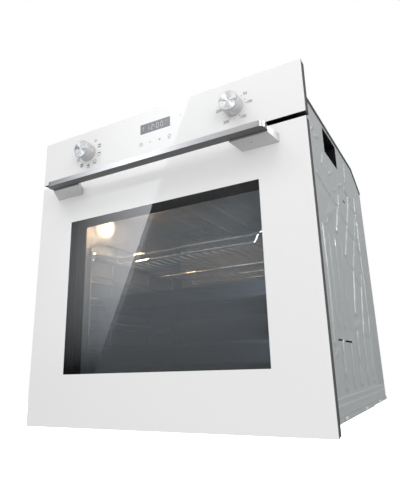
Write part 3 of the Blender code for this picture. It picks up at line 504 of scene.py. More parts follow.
def symbol(kind, centre, s):
    """A small generic heating symbol of half size s: a lamp, or a square with bars or a fan."""
    x, z = centre
    line = s * 0.20
    if kind == "lamp":
        foot = z - s * 0.8
        return loop(centre, s * 0.55, line) + [stroke((x - s * 0.3, foot), (x + s * 0.3, foot), line)]
    edge = s * 0.9
    corners = [(x - edge, z - edge), (x + edge, z - edge), (x + edge, z + edge), (x - edge, z + edge)]
    shapes = [stroke(corners[i], corners[(i + 1) % 4], line * 0.8) for i in range(4)]
    if "top" in kind:
        shapes.append(stroke((x - s * 0.6, z + s * 0.55), (x + s * 0.6, z + s * 0.55), line * 1.5))
    if "low" in kind:
        shapes.append(stroke((x - s * 0.6, z - s * 0.55), (x + s * 0.6, z - s * 0.55), line * 1.5))
    if "fan" in kind:
        for turn in range(4):
            a = math.radians(45 + 90 * turn)
            tip = (x + s * 0.42 * math.cos(a), z + s * 0.42 * math.sin(a))
            shapes.append(stroke((x, z), tip, line * 1.2))
    return shapes


def round_dial(x, radius, clock):
    """A point round a knob; clock is degrees from the top, clockwise."""
    angle = math.radians(90 - clock)
    return (x + radius * math.cos(angle), KNOB_Z + radius * math.sin(angle))


TICK_RING, LABEL_RING = 0.0233, 0.0302      # radii of the two rings round a knob
TICK, SMALL_TICK, ZERO_DOT = 0.0008, 0.0004, 0.0009
TICKS = (42, 70, 88, 154, 202, 271.5)       # clock angles
SMALL_TICKS = (56, 101.5, 115, 129, 178, 225, 248)
NUMBERS = ((50, 49.6), (100, 88.6), (150, 145), (200, 212), (250, 271))   # degrees Celsius, clock angle
NUMBER_SIZE, SYMBOL_SIZE = 0.0076, 0.0040
SYMBOLS = ("lamp", "top low", "top", "low", "top fan", "top low fan", "fan", "low fan", "lamp")
SYMBOL_STEP = 36           # degrees from one symbol to the next


def dial_marks():
    """Ring of symbols round the left knob, ticks and numbers round the right one."""
    shapes = []
    for i, kind in enumerate(SYMBOLS):
        shapes += symbol(kind, round_dial(-KNOB_X, LABEL_RING, SYMBOL_STEP * (i + 1)), SYMBOL_SIZE)
    shapes += [dot(round_dial(x, TICK_RING, 0), ZERO_DOT) for x in (-KNOB_X, KNOB_X)]
    for radius, clocks in ((TICK, TICKS), (SMALL_TICK, SMALL_TICKS)):
        shapes += [dot(round_dial(KNOB_X, TICK_RING, clock), radius) for clock in clocks]
    settle(mesh_piece("panel_marks", shapes), "oven_body", "ink", smooth=False)
    for degrees, clock in NUMBERS:
        label(str(degrees), round_dial(KNOB_X, LABEL_RING, clock), NUMBER_SIZE, f"dial_number_{degrees}")


def label(text, centre, height, name):
    """A printed number, as thin raised ink."""
    data = bpy.data.curves.new(name, "FONT")
    data.body = text
    data.size = height
    data.align_x = "CENTER"
    data.align_y = "CENTER"
    data.extrude = PRINT / 2
    outline = link_object(name + "_outline", data)
    solid = link_object(name, evaluated_mesh(outline))
    bpy.data.objects.remove(outline, do_unlink=True)
    solid.matrix_world = (Matrix.Translation(at(centre[0], -PRINT / 2, centre[1]))
                          @ Matrix.Rotation(math.pi / 2, 4, "X"))
    settle(solid, "oven_body", "ink", smooth=False)


SEGMENTS = {"0": "abcdef", "1": "bc", "2": "abged"}     # lit bars of each figure that is shown


def digit(figure, x, z, w, h, t):
    """The lit bars of a seven-segment figure with its lower left corner at (x, z)."""
    left, right, middle, top = x, x + w, z + h / 2, z + h
    bars = {"a": ((left, top), (right, top)), "b": ((right, middle), (right, top)),
            "c": ((right, z), (right, middle)), "d": ((left, z), (right, z)),
            "e": ((left, z), (left, middle)), "f": ((left, middle), (left, top)),
            "g": ((left, middle), (right, middle))}
    shapes = []
    for key in SEGMENTS[figure]:
        a, b = Vector(bars[key][0]), Vector(bars[key][1])
        inset = (b - a).normalized() * t * 0.6
        shapes.append(stroke(a + inset, b - inset, t))
    return shapes


DISPLAY_HALF, DISPLAY_LOW, DISPLAY_HIGH = 0.035, 0.541, 0.562
FIGURE_Z, FIGURE_WIDTH, FIGURE_HEIGHT, FIGURE_LINE = 0.5464, 0.0050, 0.0102, 0.0010
FIGURES = (("1", -0.0195), ("2", -0.0095), ("0", 0.0035), ("0", 0.0135))    # figure, left edge
ICON_Z, ICON_LINE = 0.5194, 0.0007
CLOCK_X, MINUS_X, PLUS_X, LIGHT_X = -0.033, -0.011, 0.011, 0.033


def display():
    """Dark display window with lit figures, and the four touch icons."""
    glass = mesh_piece("display_window", [
        block((-DISPLAY_HALF, DISPLAY_HALF), (-0.00008, 0.0), (DISPLAY_LOW, DISPLAY_HIGH))])
    settle(glass, "oven_body", "display", bevel=0.00003)
    z, h = FIGURE_Z, FIGURE_HEIGHT
    shapes = []
    for figure, x in FIGURES:
        shapes += digit(figure, x, z, FIGURE_WIDTH, h, FIGURE_LINE)
    shapes += [dot((-0.0005, z + h * part), 0.0008) for part in (0.28, 0.72)]
    shapes += loop((-0.0285, z + h * 0.75), 0.0020, 0.0006)
    shapes += [stroke((-0.0305, z + h * 0.2), (-0.0265, z + h * 0.2), 0.0008)]
    shapes += loop((0.0250, z + h * 0.85), 0.0013, 0.0005)
    shapes += [stroke((0.0285, z + h * 0.85), (0.0315, z + h * 0.85), 0.0006)]
    figures = mesh_piece("display_figures", shapes)
    figures.location.y = -0.0001
    settle(figures, "oven_body", "digits", smooth=False)
    z, line = ICON_Z, ICON_LINE
    icons = loop((CLOCK_X, z), 0.0036, line)
    icons += [stroke((CLOCK_X, z), (CLOCK_X, z + 0.0022), line), stroke((CLOCK_X, z), (-0.0313, z), line)]
    icons += [stroke((x - 0.0028, z), (x + 0.0028, z), line) for x in (MINUS_X, PLUS_X)]
    icons += [stroke((PLUS_X, z - 0.0028), (PLUS_X, z + 0.0028), line)]
    icons += loop((LIGHT_X, z + 0.0012), 0.0029, line)
    icons += [stroke((LIGHT_X - 0.003, z - 0.0042), (LIGHT_X + 0.003, z - 0.0042), line)]
    icons += [dot((0.059, 0.556), 0.0009)]
    settle(mesh_piece("touch_icons", icons), "oven_body", "ink", smooth=False)


# ---------------------------------------------------------------- knobs
SKIN = 0.0001              # how far the finished faces stay inside the CAD faces
KNOB_CHAMFER = 0.0006
CAP_HOLE, SKIRT_HOLE, SHAFT = 0.0108, 0.0112, 0.0034


def knobs():
    """Spun face with a crisp edge, on a satin barrel and collar; a fine notch marks the pointer."""
    skirt_low, skirt_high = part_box("function_knob_skirt")
    length, radius = FRONT - cap_low.y, (cap_high.x - cap_low.x) / 2
    skirt_top, skirt = FRONT - skirt_low.y, (skirt_high.x - skirt_low.x) / 2
    face, edge = radius - 0.0007, KNOB_CHAMFER
    disc = [(0.0, length - SKIN), (face - 0.0002, length - SKIN), (face - 0.0002, length - 0.0012),
            (0.0, length - 0.0012)]
    foot = skirt_top + 0.0006
    barrel = [(face, length), (radius - 0.0002, length - edge), (radius, length - 2 * edge),
              (radius, skirt_top + 0.0012), (radius - 0.0005, foot), (CAP_HOLE, foot),
              (CAP_HOLE, 0.002), (SHAFT, 0.002), (SHAFT, length - 0.0013), (face, length - 0.0013)]
    ring = [(skirt - 0.0008, skirt_top), (skirt, skirt_top - 0.0008), (skirt, 0.0008), (SKIRT_HOLE, 0.0008),
            (SKIRT_HOLE, skirt_top)]
    for body, x in (("function_knob", -KNOB_X), ("temperature_knob", KNOB_X)):
        centre = (x, 0, KNOB_Z)
        settle(turned(f"{body}_face", disc, centre), body, "spun", [f"{body}_cap"])
        settle(turned(f"{body}_barrel", barrel, centre, closed=True), body, "satin")
        settle(turned(f"{body}_collar", ring, centre, closed=True), body, "satin",
               [f"{body}_skirt"])
        notch = mesh_piece(f"{body}_pointer", [
            block((x - 0.0004, x + 0.0004), (0.0002 - length, 0.0012 - length),
                  (KNOB_Z + face - SKIN, KNOB_Z + radius - SKIN))])
        settle(notch, body, "ink", bevel=0.0001)


# ---------------------------------------------------------------- handle
def post(name):
    """A handle post with softened edges."""
    made = link_object(name + "_casting", NODES[name].data.copy())
    settle(made, "door", "satin", [name], bevel=0.0012)


BAR_CORNER = 0.011         # radius of the bar's two front corners


def handle():
    """Bar with crisp rounded edges on two flared posts."""
    a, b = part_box("handle_bar")
    front, back, half = a[1], b[1], b[0]
    points = [(half, back), (-half, back)]
    points += arc((-half + BAR_CORNER, front + BAR_CORNER), BAR_CORNER, 180, 270, 12)
    points += arc((half - BAR_CORNER, front + BAR_CORNER), BAR_CORNER, 270, 360, 12)
    data = bpy.data.curves.new("handle_outline", "CURVE")
    data.dimensions = "2D"
    data.fill_mode = "BOTH"
    data.extrude = (b[2] - a[2]) / 2
    spline = data.splines.new("POLY")
    spline.points.add(len(points) - 1)
    for point, (x, y) in zip(spline.points, points):
        point.co = (x, y, 0.0, 1.0)
    spline.use_cyclic_u = True
    bar = wires_to_mesh("handle_grip", [link_object("handle_outline", data)])
    bar.location.z = (b[2] + a[2]) / 2
    settle(bar, "door", "aluminium", ["handle_bar"], bevel=0.0009)
    # Painted shade: the bar's downward faces get the darker copy of its aluminium.
    second_paint(bar, "painted_shade_aluminium", lambda normal: normal.z < -0.9)
    for name in ("handle_left_post", "handle_right_post"):
        post(name)


# ---------------------------------------------------------------- cavity fittings
RACK_WIRE, RACK_FRAME_WIRE = 0.0043, 0.0025     # offsets of the wires' middles from the rack's outer side
LOWEST_LEVEL, LEVEL_STEP, LEVELS, RUNNER_DROP = 0.1478, 0.0494, 5, 0.014
RACK_POSTS = (0.16, 0.30)                        # depths of the middle uprights


def racks():
    """Side ladders of polished wire with bent ends."""
    for name, sign in (("left_rack", -1), ("right_rack", 1)):
        a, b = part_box(name)
        outer = max(abs(a[0]), abs(b[0]))
        level_x = sign * (outer - RACK_FRAME_WIRE - RACK_WIRE)
        post_x = sign * (outer - RACK_FRAME_WIRE)
        front, rear = a[1] - FRONT + 0.0045, b[1] - FRONT - 0.0045
        bottom, top = a[2] + 0.003, b[2] - 0.003
        paths = [rounded([(post_x, front, bottom), (post_x, front, top), (post_x, rear, top),
                          (post_x, rear, bottom)], 0.012)]
        for level in range(LEVELS):
            for drop in (0.0, RUNNER_DROP):
                z = LOWEST_LEVEL + LEVEL_STEP * level - drop
                paths.append(rounded([(post_x, front - 0.0035, z), (level_x, front + 0.003, z),
                                      (level_x, rear - 0.003, z), (post_x, rear + 0.0035, z)], 0.004))
        paths += [[(post_x, depth, bottom + 0.002), (post_x, depth, top)] for depth in RACK_POSTS]
        made = wires_to_mesh(name + "_wires", [wire(name + "_curve", paths, 0.0023)])
        settle(made, "oven_body", "chrome", [name])


RING_WIRE, SHELF_WIRE, CROSS_WIRE = 0.0025, 0.0022, 0.0013    # radii
STEP_START, STEP_END = 0.183, 0.157              # where the shelf's end rails bend down
STEP_Z, GRID_Z = 0.3248, 0.3107
GRID_HALF, CROSS_HALF, CROSS_COUNT = 0.156, 0.148, 17


def shelf():
    """Wire shelf: raised side rails, a stepped front rail and many cross wires."""
    a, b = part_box("wire_shelf")
    side = b[0] - RING_WIRE
    front, rear = a[1] - FRONT + RING_WIRE, b[1] - FRONT - RING_WIRE
    rail_z = b[2] - 0.0041

    def bridge(depth):
        half = [(-side, depth, rail_z), (-STEP_START, depth, rail_z), (-STEP_END, depth, STEP_Z)]
        return half + [(-x, depth, z) for x, depth, z in half[::-1]]

    ring = wire("shelf_ring", [rounded(bridge(front) + bridge(rear)[::-1], 0.014, closed=True)], RING_WIRE,
                cyclic=True)
    paths = [rounded([(-0.165, depth + 0.001, STEP_Z + 0.006), (-GRID_HALF, depth, GRID_Z),
                      (GRID_HALF, depth, GRID_Z), (0.165, depth + 0.001, STEP_Z + 0.006)], 0.006)
             for depth in (front, rear)]
    middle = (front + rear) / 2
    paths.append([(-GRID_HALF, middle, GRID_Z - 0.0025), (GRID_HALF, middle, GRID_Z - 0.0025)])
    thin = []
    for i in range(CROSS_COUNT):
        x = -CROSS_HALF + 2 * CROSS_HALF * i / (CROSS_COUNT - 1)
        thin.append(rounded([(x, front - 0.0008, GRID_Z - 0.001), (x, front, GRID_Z + 0.0032),
                             (x, rear, GRID_Z + 0.0032), (x, rear + 0.0008, GRID_Z - 0.001)],
                            0.003, steps=3))
    thin += [[(x, front, rail_z + 0.001), (x, rear, rail_z + 0.001)] for x in (-0.190, 0.190)]
    made = wires_to_mesh("shelf_wires", [ring, wire("shelf_main", paths, SHELF_WIRE),
                                         wire("shelf_thin", thin, CROSS_WIRE)])
    settle(made, "shelf", "chrome", ["wire_shelf"])


RIM_ROLL = 0.0028          # radius of the trays' rolled rim


def trays():
    """Pressed trays with rounded walls and a rolled rim."""
    for name, body in (("baking_tray", "upper_tray"), ("deep_tray", "lower_tray")):
        a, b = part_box(name)
        mid_y, half_x, half_y = (a[1] + b[1]) / 2, (b[0] - a[0]) / 2, (b[1] - a[1]) / 2
        top, floor = b[2], a[2]
        section = [(0.0, top - 2 * RIM_ROLL), (0.0, top - 0.0006), (0.0012, top), (0.0070, top),
                   (0.0105, top - 0.0016), (0.0118, top - 0.0050), (0.0150, floor + 0.0060),
                   (0.0175, floor + 0.0020), (0.0225, floor + 0.0009)]      # inset from the rim, height
        bm = bmesh.new()
        rings = []
        for inset, z in section:
            radius = max(0.004, 0.026 - inset * 0.3)
            outline = []
            for cx, cy, start in ((1, 1, 0), (-1, 1, 90), (-1, -1, 180), (1, -1, 270)):
                centre = (cx * (half_x - inset - radius), mid_y + cy * (half_y - inset - radius))
                outline += arc(centre, radius, start, start + 90, 6)
            rings.append([bm.verts.new((x, y, z)) for x, y in outline])
        for outer, inner in zip(rings, rings[1:]):
            for i in range(len(outer)):
                k = (i + 1) % len(outer)
                bm.faces.new((outer[i], outer[k], inner[k], inner[i]))
        bm.faces.new(rings[-1])
        made = finish_mesh(name + "_shell", bm)
        thicken(made)
        settle(made, body, "tray_enamel", [name])


DOME_RADIUS, DOME_REACH, DOME_ROWS, DOME_SIDES = 0.0255, 0.0235, 6, 14


def lamp_dome():
    """Pressed-glass dome over the side lamp, with flat facets."""
    a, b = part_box("lamp_glass")
    centre = Vector((a[0], (a[1] + b[1]) / 2, (a[2] + b[2]) / 2))
    bm = bmesh.new()
    rings = []
    for row in range(DOME_ROWS):
        angle = math.radians(90 * row / DOME_ROWS)
        out, across = DOME_REACH * math.sin(angle), DOME_RADIUS * math.cos(angle)
        ring = []
        for side in range(DOME_SIDES):
            turn = 2 * math.pi * side / DOME_SIDES + math.pi / DOME_SIDES * (row % 2)
            point = Vector((out, across * math.cos(turn), across * math.sin(turn)))
            ring.append(bm.verts.new(centre + point))
        rings.append(ring)
    tip = bm.verts.new(centre + Vector((DOME_REACH, 0, 0)))
    for row, (outer, inner) in enumerate(zip(rings, rings[1:])):
        for i in range(DOME_SIDES):
            k = (i + 1) % DOME_SIDES
            if row % 2 == 0:
                bm.faces.new((outer[i], outer[k], inner[i]))
                bm.faces.new((inner[i], outer[k], inner[k]))
            else:
                bm.faces.new((outer[i], inner[k], inner[i]))
                bm.faces.new((outer[i], outer[k], inner[k]))
    for i in range(DOME_SIDES):
        bm.faces.new((rings[-1][i], rings[-1][(i + 1) % DOME_SIDES], tip))
    bm.faces.new(rings[0][::-1])
    bmesh.ops.recalc_face_normals(bm, faces=bm.faces)
    made = finish_mesh("lamp_dome", bm)
    settle(made, "oven_body", "lamp_glow", ["lamp_glass"], smooth=False)


TUBE = 0.0032              # radius of the grill's tube
LOOP_INNER, LOOP_OUTER, LOOP_FRONT, LOOP_REAR = 0.030, 0.085, 0.138, 0.392


def heater_tubes():
    """Smooth grill element under the ceiling."""
    a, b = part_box("grill_heater")
    z = (a[2] + b[2]) / 2
    back, front, side = b[1] - FRONT, a[1] - FRONT + TUBE, b[0] - TUBE
    half = [(LOOP_INNER, back, z), (LOOP_INNER, LOOP_FRONT, z), (LOOP_OUTER, LOOP_FRONT, z),
            (LOOP_OUTER, LOOP_REAR, z), (side, LOOP_REAR, z), (side, front, z)]
    points = [(-x, depth, height) for x, depth, height in half] + half[::-1]
    made = wires_to_mesh("grill_tube", [wire("grill_curve", [rounded(points, 0.016)], TUBE, sides=5)])
    settle(made, "oven_body", "heater", ["grill_heater"])


# ---------------------------------------------------------------- side panels
# Pressed features of the side sheets, in millimetres; the same press makes both sides.
RIBS = (                   # half width, relief, then paths of (depth, height)
    (8, 2.6, ((213, 343), (268, 430)), ((272, 306), (340, 405), (368, 458)),
     ((300, 190), (336, 288), (386, 362), (438, 434), (446, 478))),
    (9, 2.8, ((353, 56), (362, 150), (386, 222), (404, 262), (428, 290)),
     ((420, 56), (430, 130), (442, 190), (444, 420)), ((286, 56), (296, 150)),
     ((226, 56), (230, 130)), ((160, 56), (166, 130))),
    (7, 2.2, ((106, 128), (112, 220), (106, 326)), ((338, 472), (390, 462))),
    (4, 1.6, ((145, 156), (143, 318)), ((192, 156), (190, 321)), ((239, 156), (236, 322))),
    (4, 1.5, ((102, 327), (142, 341), (148, 352)), ((138, 416), (192, 410)), ((206, 408), (262, 402)),
     ((268, 394), (322, 382)), ((330, 374), (388, 360)), ((100, 424), (128, 420)), ((284, 294), (334, 285)),
     ((350, 274), (398, 258)), ((396, 290), (432, 297)), ((398, 352), (436, 342)), ((400, 446), (446, 440)),
     ((232, 432), (246, 440)), ((384, 156), (428, 148))),
    (5, 1.8, ((94, 508), (112, 521)), ((118, 504), (148, 515)), ((150, 462), (158, 480)),
     ((203, 459), (232, 474)), ((282, 459), (318, 475))),
    (6, 2.0, ((356, 494), (370, 541))),
    (5, 1.6, ((478, 50), (478, 505)), ((503, 50), (503, 495)), ((524, 40), (524, 500))),
    (4, 1.8, ((60, 41), (530, 41)), ((60, 30), (530, 30))),
    (3, -1.4, ((164, 484), (345, 491))), (3, -1.2, ((92, 50), (460, 51))),
)
PYRAMIDS = (               # depth and height of the middle, half sizes, relief
    (176, 371, 27, 22, 3.2), (306, 168, 31, 13, 3.2), (116, 112, 15, 8, 2.6))
TILT = 0.9                 # how far a pyramid's top leans back, as a part of its half width
SLOTS = ((131, 160, 132, 135), (184, 234, 131, 134), (310, 330, 433, 437))       # depths, heights
GRIP = (184, 290, 500, 554.5)                    # the same of the hand grip
HOLES = [tuple(value / 1000 for value in hole) for hole in (GRIP, *SLOTS)]
SIDE_X = 0.279             # outer face of a side sheet
SLOPE_START, SLOPE_END_Z = 0.456, 0.529          # the upper edge slopes down towards the rear
CORNER_DEPTH, CORNER_Z = 0.025, 0.0225           # cut-off lower front corner
FLANGE_X, FLANGE_LOW, FLANGE_HIGH = 0.292, 0.027, 0.560
FLANGE_SCREW_X, FLANGE_SCREWS, FLANGE_HOLE = 0.2865, (0.070, 0.520), 0.0026
TAB_X, TAB_Z, TAB_DEPTHS, TAB_HALF = (0.278, 0.2815), (0.0095, 0.0150), (0.128, 0.296, 0.450), 0.008
SHEET_STEP = 0.0022        # size of the cells of a side sheet's mesh


def relief(depth, z):
    """Pressed height of the side sheet, in millimetres, over arrays of places in millimetres."""
    height = numpy.zeros_like(depth)
    for half, rise, path in ((half, rise, path) for half, rise, *paths in RIBS for path in paths):
        away = numpy.full_like(depth, numpy.inf)
        for (d0, z0), (d1, z1) in zip(path, path[1:]):
            along = numpy.array((d1 - d0, z1 - z0), dtype=float)
            t = ((depth - d0) * along[0] + (z - z0) * along[1]) / along.dot(along)
            t = numpy.clip(t, 0.0, 1.0)
            away = numpy.minimum(away, numpy.hypot(depth - d0 - t * along[0], z - z0 - t * along[1]))
        edge = numpy.clip(1.6 * (1.0 - away / half), 0.0, 1.0)
        bump = rise * edge * edge * (3 - 2 * edge)
        height = numpy.maximum(height, bump) if rise > 0 else numpy.where(bump < 0, height + bump, height)
    for middle, mid_z, half_d, half_z, rise in PYRAMIDS:
        lean = (depth - middle) / half_d - TILT * (z - mid_z) / half_z
        away = numpy.maximum(numpy.abs(lean), numpy.abs(z - mid_z) / half_z)
        height = numpy.maximum(height, rise * numpy.clip(1.0 - away, 0.0, 1.0))
    return height


def grid_lines(start, end, stops):
    """Evenly spaced values between two ends that also pass through every stop."""
    values = [start]
    for stop in sorted(stop for stop in stops if start < stop < end) + [end]:
        count = max(1, round((stop - values[-1]) / SHEET_STEP))
        values += [values[-1] + (stop - values[-1]) * (i + 1) / count for i in range(count)]
    return numpy.array(values)


def side_sheet(name, sign):
    """Pressed sheet with its openings, sloped rear corner and cut-off front corner."""
    a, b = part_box(name)
    start, end, bottom, top = a[1] - FRONT, b[1] - FRONT, a[2], b[2]
    stops = {value for hole in HOLES for value in hole[:2]} | {SLOPE_START, CORNER_DEPTH}
    depths = grid_lines(start, end, stops)
    heights = grid_lines(bottom, top, {value for hole in HOLES for value in hole[2:]})
    depth, z = numpy.meshgrid(depths, heights, indexing="ij")
    back = numpy.clip((depth - SLOPE_START) / (end - SLOPE_START), 0.0, 1.0)
    z = numpy.minimum(z, top + (SLOPE_END_Z - top) * back)
    front = numpy.clip((CORNER_DEPTH - depth) / (CORNER_DEPTH - start), 0.0, 1.0)
    z = numpy.maximum(z, bottom + (CORNER_Z - bottom) * front)
    x = sign * (SIDE_X + relief(depth * 1000, z * 1000) / 1000)
    places = numpy.stack((x, FRONT + depth, z), axis=-1).reshape(-1, 3)
    rows = len(heights)
    faces = []
    for i in range(len(depths) - 1):
        for k in range(rows - 1):
            middle = ((depths[i] + depths[i + 1]) / 2, (heights[k] + heights[k + 1]) / 2)
            if any(d0 < middle[0] < d1 and z0 < middle[1] < z1 for d0, d1, z0, z1 in HOLES):
                continue
            quad = (i * rows + k, (i + 1) * rows + k, (i + 1) * rows + k + 1, i * rows + k + 1)
            faces.append(quad if sign > 0 else quad[::-1])
    mesh = bpy.data.meshes.new(name + "_grid")
    mesh.from_pydata(places.tolist(), [], faces)
    bm = bmesh.new()
    bm.from_mesh(mesh)
    bmesh.ops.remove_doubles(bm, verts=bm.verts, dist=0.00005)
    bmesh.ops.dissolve_degenerate(bm, edges=bm.edges, dist=0.00001)
    bmesh.ops.delete(bm, geom=[vert for vert in bm.verts if not vert.link_faces], context="VERTS")
    made = finish_mesh(name + "_sheet", bm)
    thicken(made)
    settle(made, "oven_body", "galvanised", [name])


def side_panels():
    """Both pressed side sheets, each with its front flange and the tabs on its lower edge."""
    for name, sign in (("left_side_panel", -1), ("right_side_panel", 1)):
        side_sheet(name, sign)
        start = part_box(name)[0].y - FRONT
        flange = mesh_piece(name + "_flange", [
            block(sorted((sign * (SIDE_X - 0.0005), sign * FLANGE_X)), (start, start + 0.001),
                  (FLANGE_LOW, FLANGE_HIGH))])
        cut(flange, [rod((sign * FLANGE_SCREW_X, 0, z), (sign * FLANGE_SCREW_X, 0.05, z), FLANGE_HOLE, 20)
                     for z in FLANGE_SCREWS])
        settle(flange, "oven_body", "galvanised", bevel=0.0002)
        tabs = [block(sorted(sign * x for x in TAB_X), (middle - TAB_HALF, middle + TAB_HALF), TAB_Z)
                for middle in TAB_DEPTHS]
        settle(mesh_piece(name + "_tabs", tabs), "oven_body", "satin", bevel=0.0009)


# ---------------------------------------------------------------- studio
FLOOR_HALF, FLOOR_LOW, FLOOR_TOP = 6, -0.40, -0.39
LIT = 0.77                 # grey of the sky as a light
MIRRORED = ((0.20, 0.38), (0.42, 0.20), (0.66, 0.28), (1.0, 0.50))   # greys in reflections, below to above
BEHIND = 0.27              # how much brighter reflections are towards the rear
CARD_AWAY = -1.5           # depth of the reflected card, in front of the glass
CARD_LOW, CARD_HIGH, CARD_WIDTH = (-1.80, -0.60), (-0.43, 2.60), 3.2     # its right edge, as (x, z)
CARD_FADE_LEFT, CARD_FADE_LOW, CARD_FULL, CARD_POWER = 0.75, 0.22, 0.56, 5.2
STUDIO_LIGHTS = (          # name, place, aim, size, watts
    ("key_light", (0.0, -1.95, 2.70), (0.1, -0.25, 0.3), 1.2, 15),
    ("left_light", (-1.15, -1.65, 2.65), (0, -0.25, 0.4), 0.7, 9),
    ("fill_light", (2.2, -2.2, 1.2), (0, -0.25, 0.3), 1.4, 24),
    ("side_light", (3.0, 0.4, 1.5), (0.28, 0.0, 0.3), 1.2, 34),
    ("back_light", (-1.0, 2.6, 2.2), (0, 0.1, 0.3), 1.6, 30),
)
LAMP_PLACE, LAMP_WATTS, LAMP_SIZE, LAMP_COLOUR = (-0.165, 0.127, 0.405), 2.2, 0.012, (1.0, 0.66, 0.36)
CAVITY_COLOUR = (0.80, 0.92, 1.0)
CAVITY_LIGHTS = (          # name, place, aim, width, length, watts
    ("cavity_fill", (0.05, 0.24, 0.448), (0.05, 0.24, 0.1), 0.26, 0.26, 0.35),
    ("sill_glow", (0.0, 0.075, 0.085), (0.0, 0.11, 0.35), 0.40, 0.04, 3.6),
    ("side_glow", (0.21, 0.075, 0.24), (-0.24, 0.16, 0.24), 0.04, 0.26, 0.7),
)


def studio():
    """White floor, a sky, soft lights and a reflected card."""
    sides = (-FLOOR_HALF, FLOOR_HALF)
    floor = mesh_piece("studio_floor", [block(sides, sides, (FLOOR_LOW, FLOOR_TOP))])
    floor_paint = Paint("studio_floor", (0.93, 0.93, 0.93), 0.6, Emission_Strength=1.0)
    floor_paint.shader.inputs["Emission Color"].default_value = (1.0, 1.0, 1.0, 1.0)
    floor.data.materials.append(floor_paint.grain(2, colour=0.004).material)
    floor.visible_glossy = False
    floor.visible_diffuse = False
    sky()
    reflection_card()
    for light in STUDIO_LIGHTS:
        area(*light)


def sky():
    """White for the camera, even grey as a light, and uneven grey in reflections."""
    world = bpy.data.worlds.new("studio")
    bpy.context.scene.world = world
    world.use_nodes = True
    tree = world.node_tree
    nodes, links = tree.nodes, tree.links
    path = nodes.new("ShaderNodeLightPath")
    place = nodes.new("ShaderNodeTexCoord")
    split = nodes.new("ShaderNodeSeparateXYZ")
    links.new(place.outputs["Generated"], split.inputs["Vector"])
    ramp = nodes.new("ShaderNodeValToRGB")
    while len(ramp.color_ramp.elements) < len(MIRRORED):
        ramp.color_ramp.elements.new(0.5)
    for element, (position, value) in zip(ramp.color_ramp.elements, MIRRORED):
        element.position = position
        element.color = (value, value, value, 1.0)
    links.new(spread(tree, split.outputs["Z"], start=-1.0), ramp.inputs["Fac"])
    both = nodes.new("ShaderNodeVectorMath")
    links.new(ramp.outputs["Color"], both.inputs[0])
    links.new(spread(tree, split.outputs["Y"], start=-0.1, most=BEHIND), both.inputs[1])
    lit, mirrored, white = (nodes.new("ShaderNodeBackground") for _ in range(3))
    lit.inputs["Color"].default_value = (LIT, LIT, LIT, 1.0)
    links.new(both.outputs["Vector"], mirrored.inputs["Color"])
    white.inputs["Color"].default_value = (1.0, 1.0, 1.0, 1.0)
    result = lit.outputs["Background"]
    for ray, shade in (("Is Glossy Ray", mirrored), ("Is Camera Ray", white)):
        mix = nodes.new("ShaderNodeMixShader")
        links.new(path.outputs[ray], mix.inputs["Fac"])
        links.new(result, mix.inputs[1])
        links.new(shade.outputs["Background"], mix.inputs[2])
        result = mix.outputs["Shader"]
    links.new(result, nodes["World Output"].inputs["Surface"])


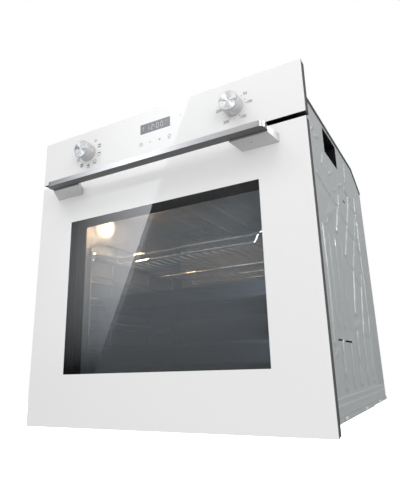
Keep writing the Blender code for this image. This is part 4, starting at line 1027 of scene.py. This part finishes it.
def reflection_card():
    """A leaning soft card in front of the oven, seen only as a slanted reflection in the glass."""
    (low_x, low_z), (high_x, high_z) = CARD_LOW, CARD_HIGH
    corners = [at(x, CARD_AWAY, z) for x, z in (CARD_LOW, CARD_HIGH, (high_x - CARD_WIDTH, high_z),
                                                (low_x - CARD_WIDTH, low_z))]
    mesh = bpy.data.meshes.new("reflection_card")
    mesh.from_pydata(corners, [], [(0, 1, 2, 3)])
    layer = mesh.uv_layers.new(name="fade")
    for item, uv in zip(layer.data, ((1, 0), (1, 1), (0, 1), (0, 0))):
        item.uv = uv
    card = link_object("reflection_card", mesh)
    paint = bpy.data.materials.new("reflection_card")
    paint.use_nodes = True
    tree = paint.node_tree
    nodes, links = tree.nodes, tree.links
    nodes.clear()
    place = nodes.new("ShaderNodeTexCoord")
    split = nodes.new("ShaderNodeSeparateXYZ")
    links.new(place.outputs["UV"], split.inputs["Vector"])
    power = nodes.new("ShaderNodeMath")
    power.operation = "MULTIPLY"
    links.new(spread(tree, split.outputs["X"], start=CARD_FADE_LEFT), power.inputs[0])
    links.new(spread(tree, split.outputs["Y"], CARD_FADE_LOW, CARD_FULL, most=CARD_POWER), power.inputs[1])
    glow = nodes.new("ShaderNodeEmission")
    glow.inputs["Color"].default_value = (0.93, 0.96, 1.0, 1.0)
    links.new(power.outputs["Value"], glow.inputs["Strength"])
    output = nodes.new("ShaderNodeOutputMaterial")
    links.new(glow.outputs["Emission"], output.inputs["Surface"])
    mesh.materials.append(paint)
    card.visible_camera = False
    card.visible_diffuse = False
    card.visible_shadow = False


def area(name, place, aim, size, power):
    data = bpy.data.lights.new(name, "AREA")
    data.size = size
    data.energy = power
    light = link_object(name, data)
    light.location = place
    light.rotation_euler = (Vector(aim) - Vector(place)).to_track_quat("-Z", "Y").to_euler()
    return light


def cavity_lights():
    """The side lamp's warm light, and cool soft lights that stand for light through the glass."""
    lamp = bpy.data.lights.new("oven_lamp", "POINT")
    lamp.energy = LAMP_WATTS
    lamp.color = LAMP_COLOUR
    lamp.shadow_soft_size = LAMP_SIZE
    link_object("oven_lamp", lamp).location = at(*LAMP_PLACE)
    for name, place, aim, width, length, watts in CAVITY_LIGHTS:
        glow = area(name, at(*place), at(*aim), width, watts)
        glow.data.shape = "RECTANGLE"
        glow.data.size_y = length
        glow.data.color = CAVITY_COLOUR


def camera():
    """From low on the oven's right, looking up at its front."""
    data = bpy.data.cameras.new("camera")
    data.lens = 32.52
    data.sensor_width = 36.0
    data.shift_x = -0.0257
    data.shift_y = -0.0321
    made = link_object("camera", data)
    made.location = at(0.4609, -0.6452, 0.0996)
    made.rotation_euler = [math.radians(angle) for angle in (106.203, 1.876, 28.431)]
    bpy.context.scene.camera = made
    bpy.context.scene.view_settings.view_transform = "Standard"


camera()
dress_nodes()
door_glass()
control_glass()
dial_marks()
display()
knobs()
handle()
racks()
shelf()
trays()
heater_tubes()
lamp_dome()
side_panels()
studio()
cavity_lights()
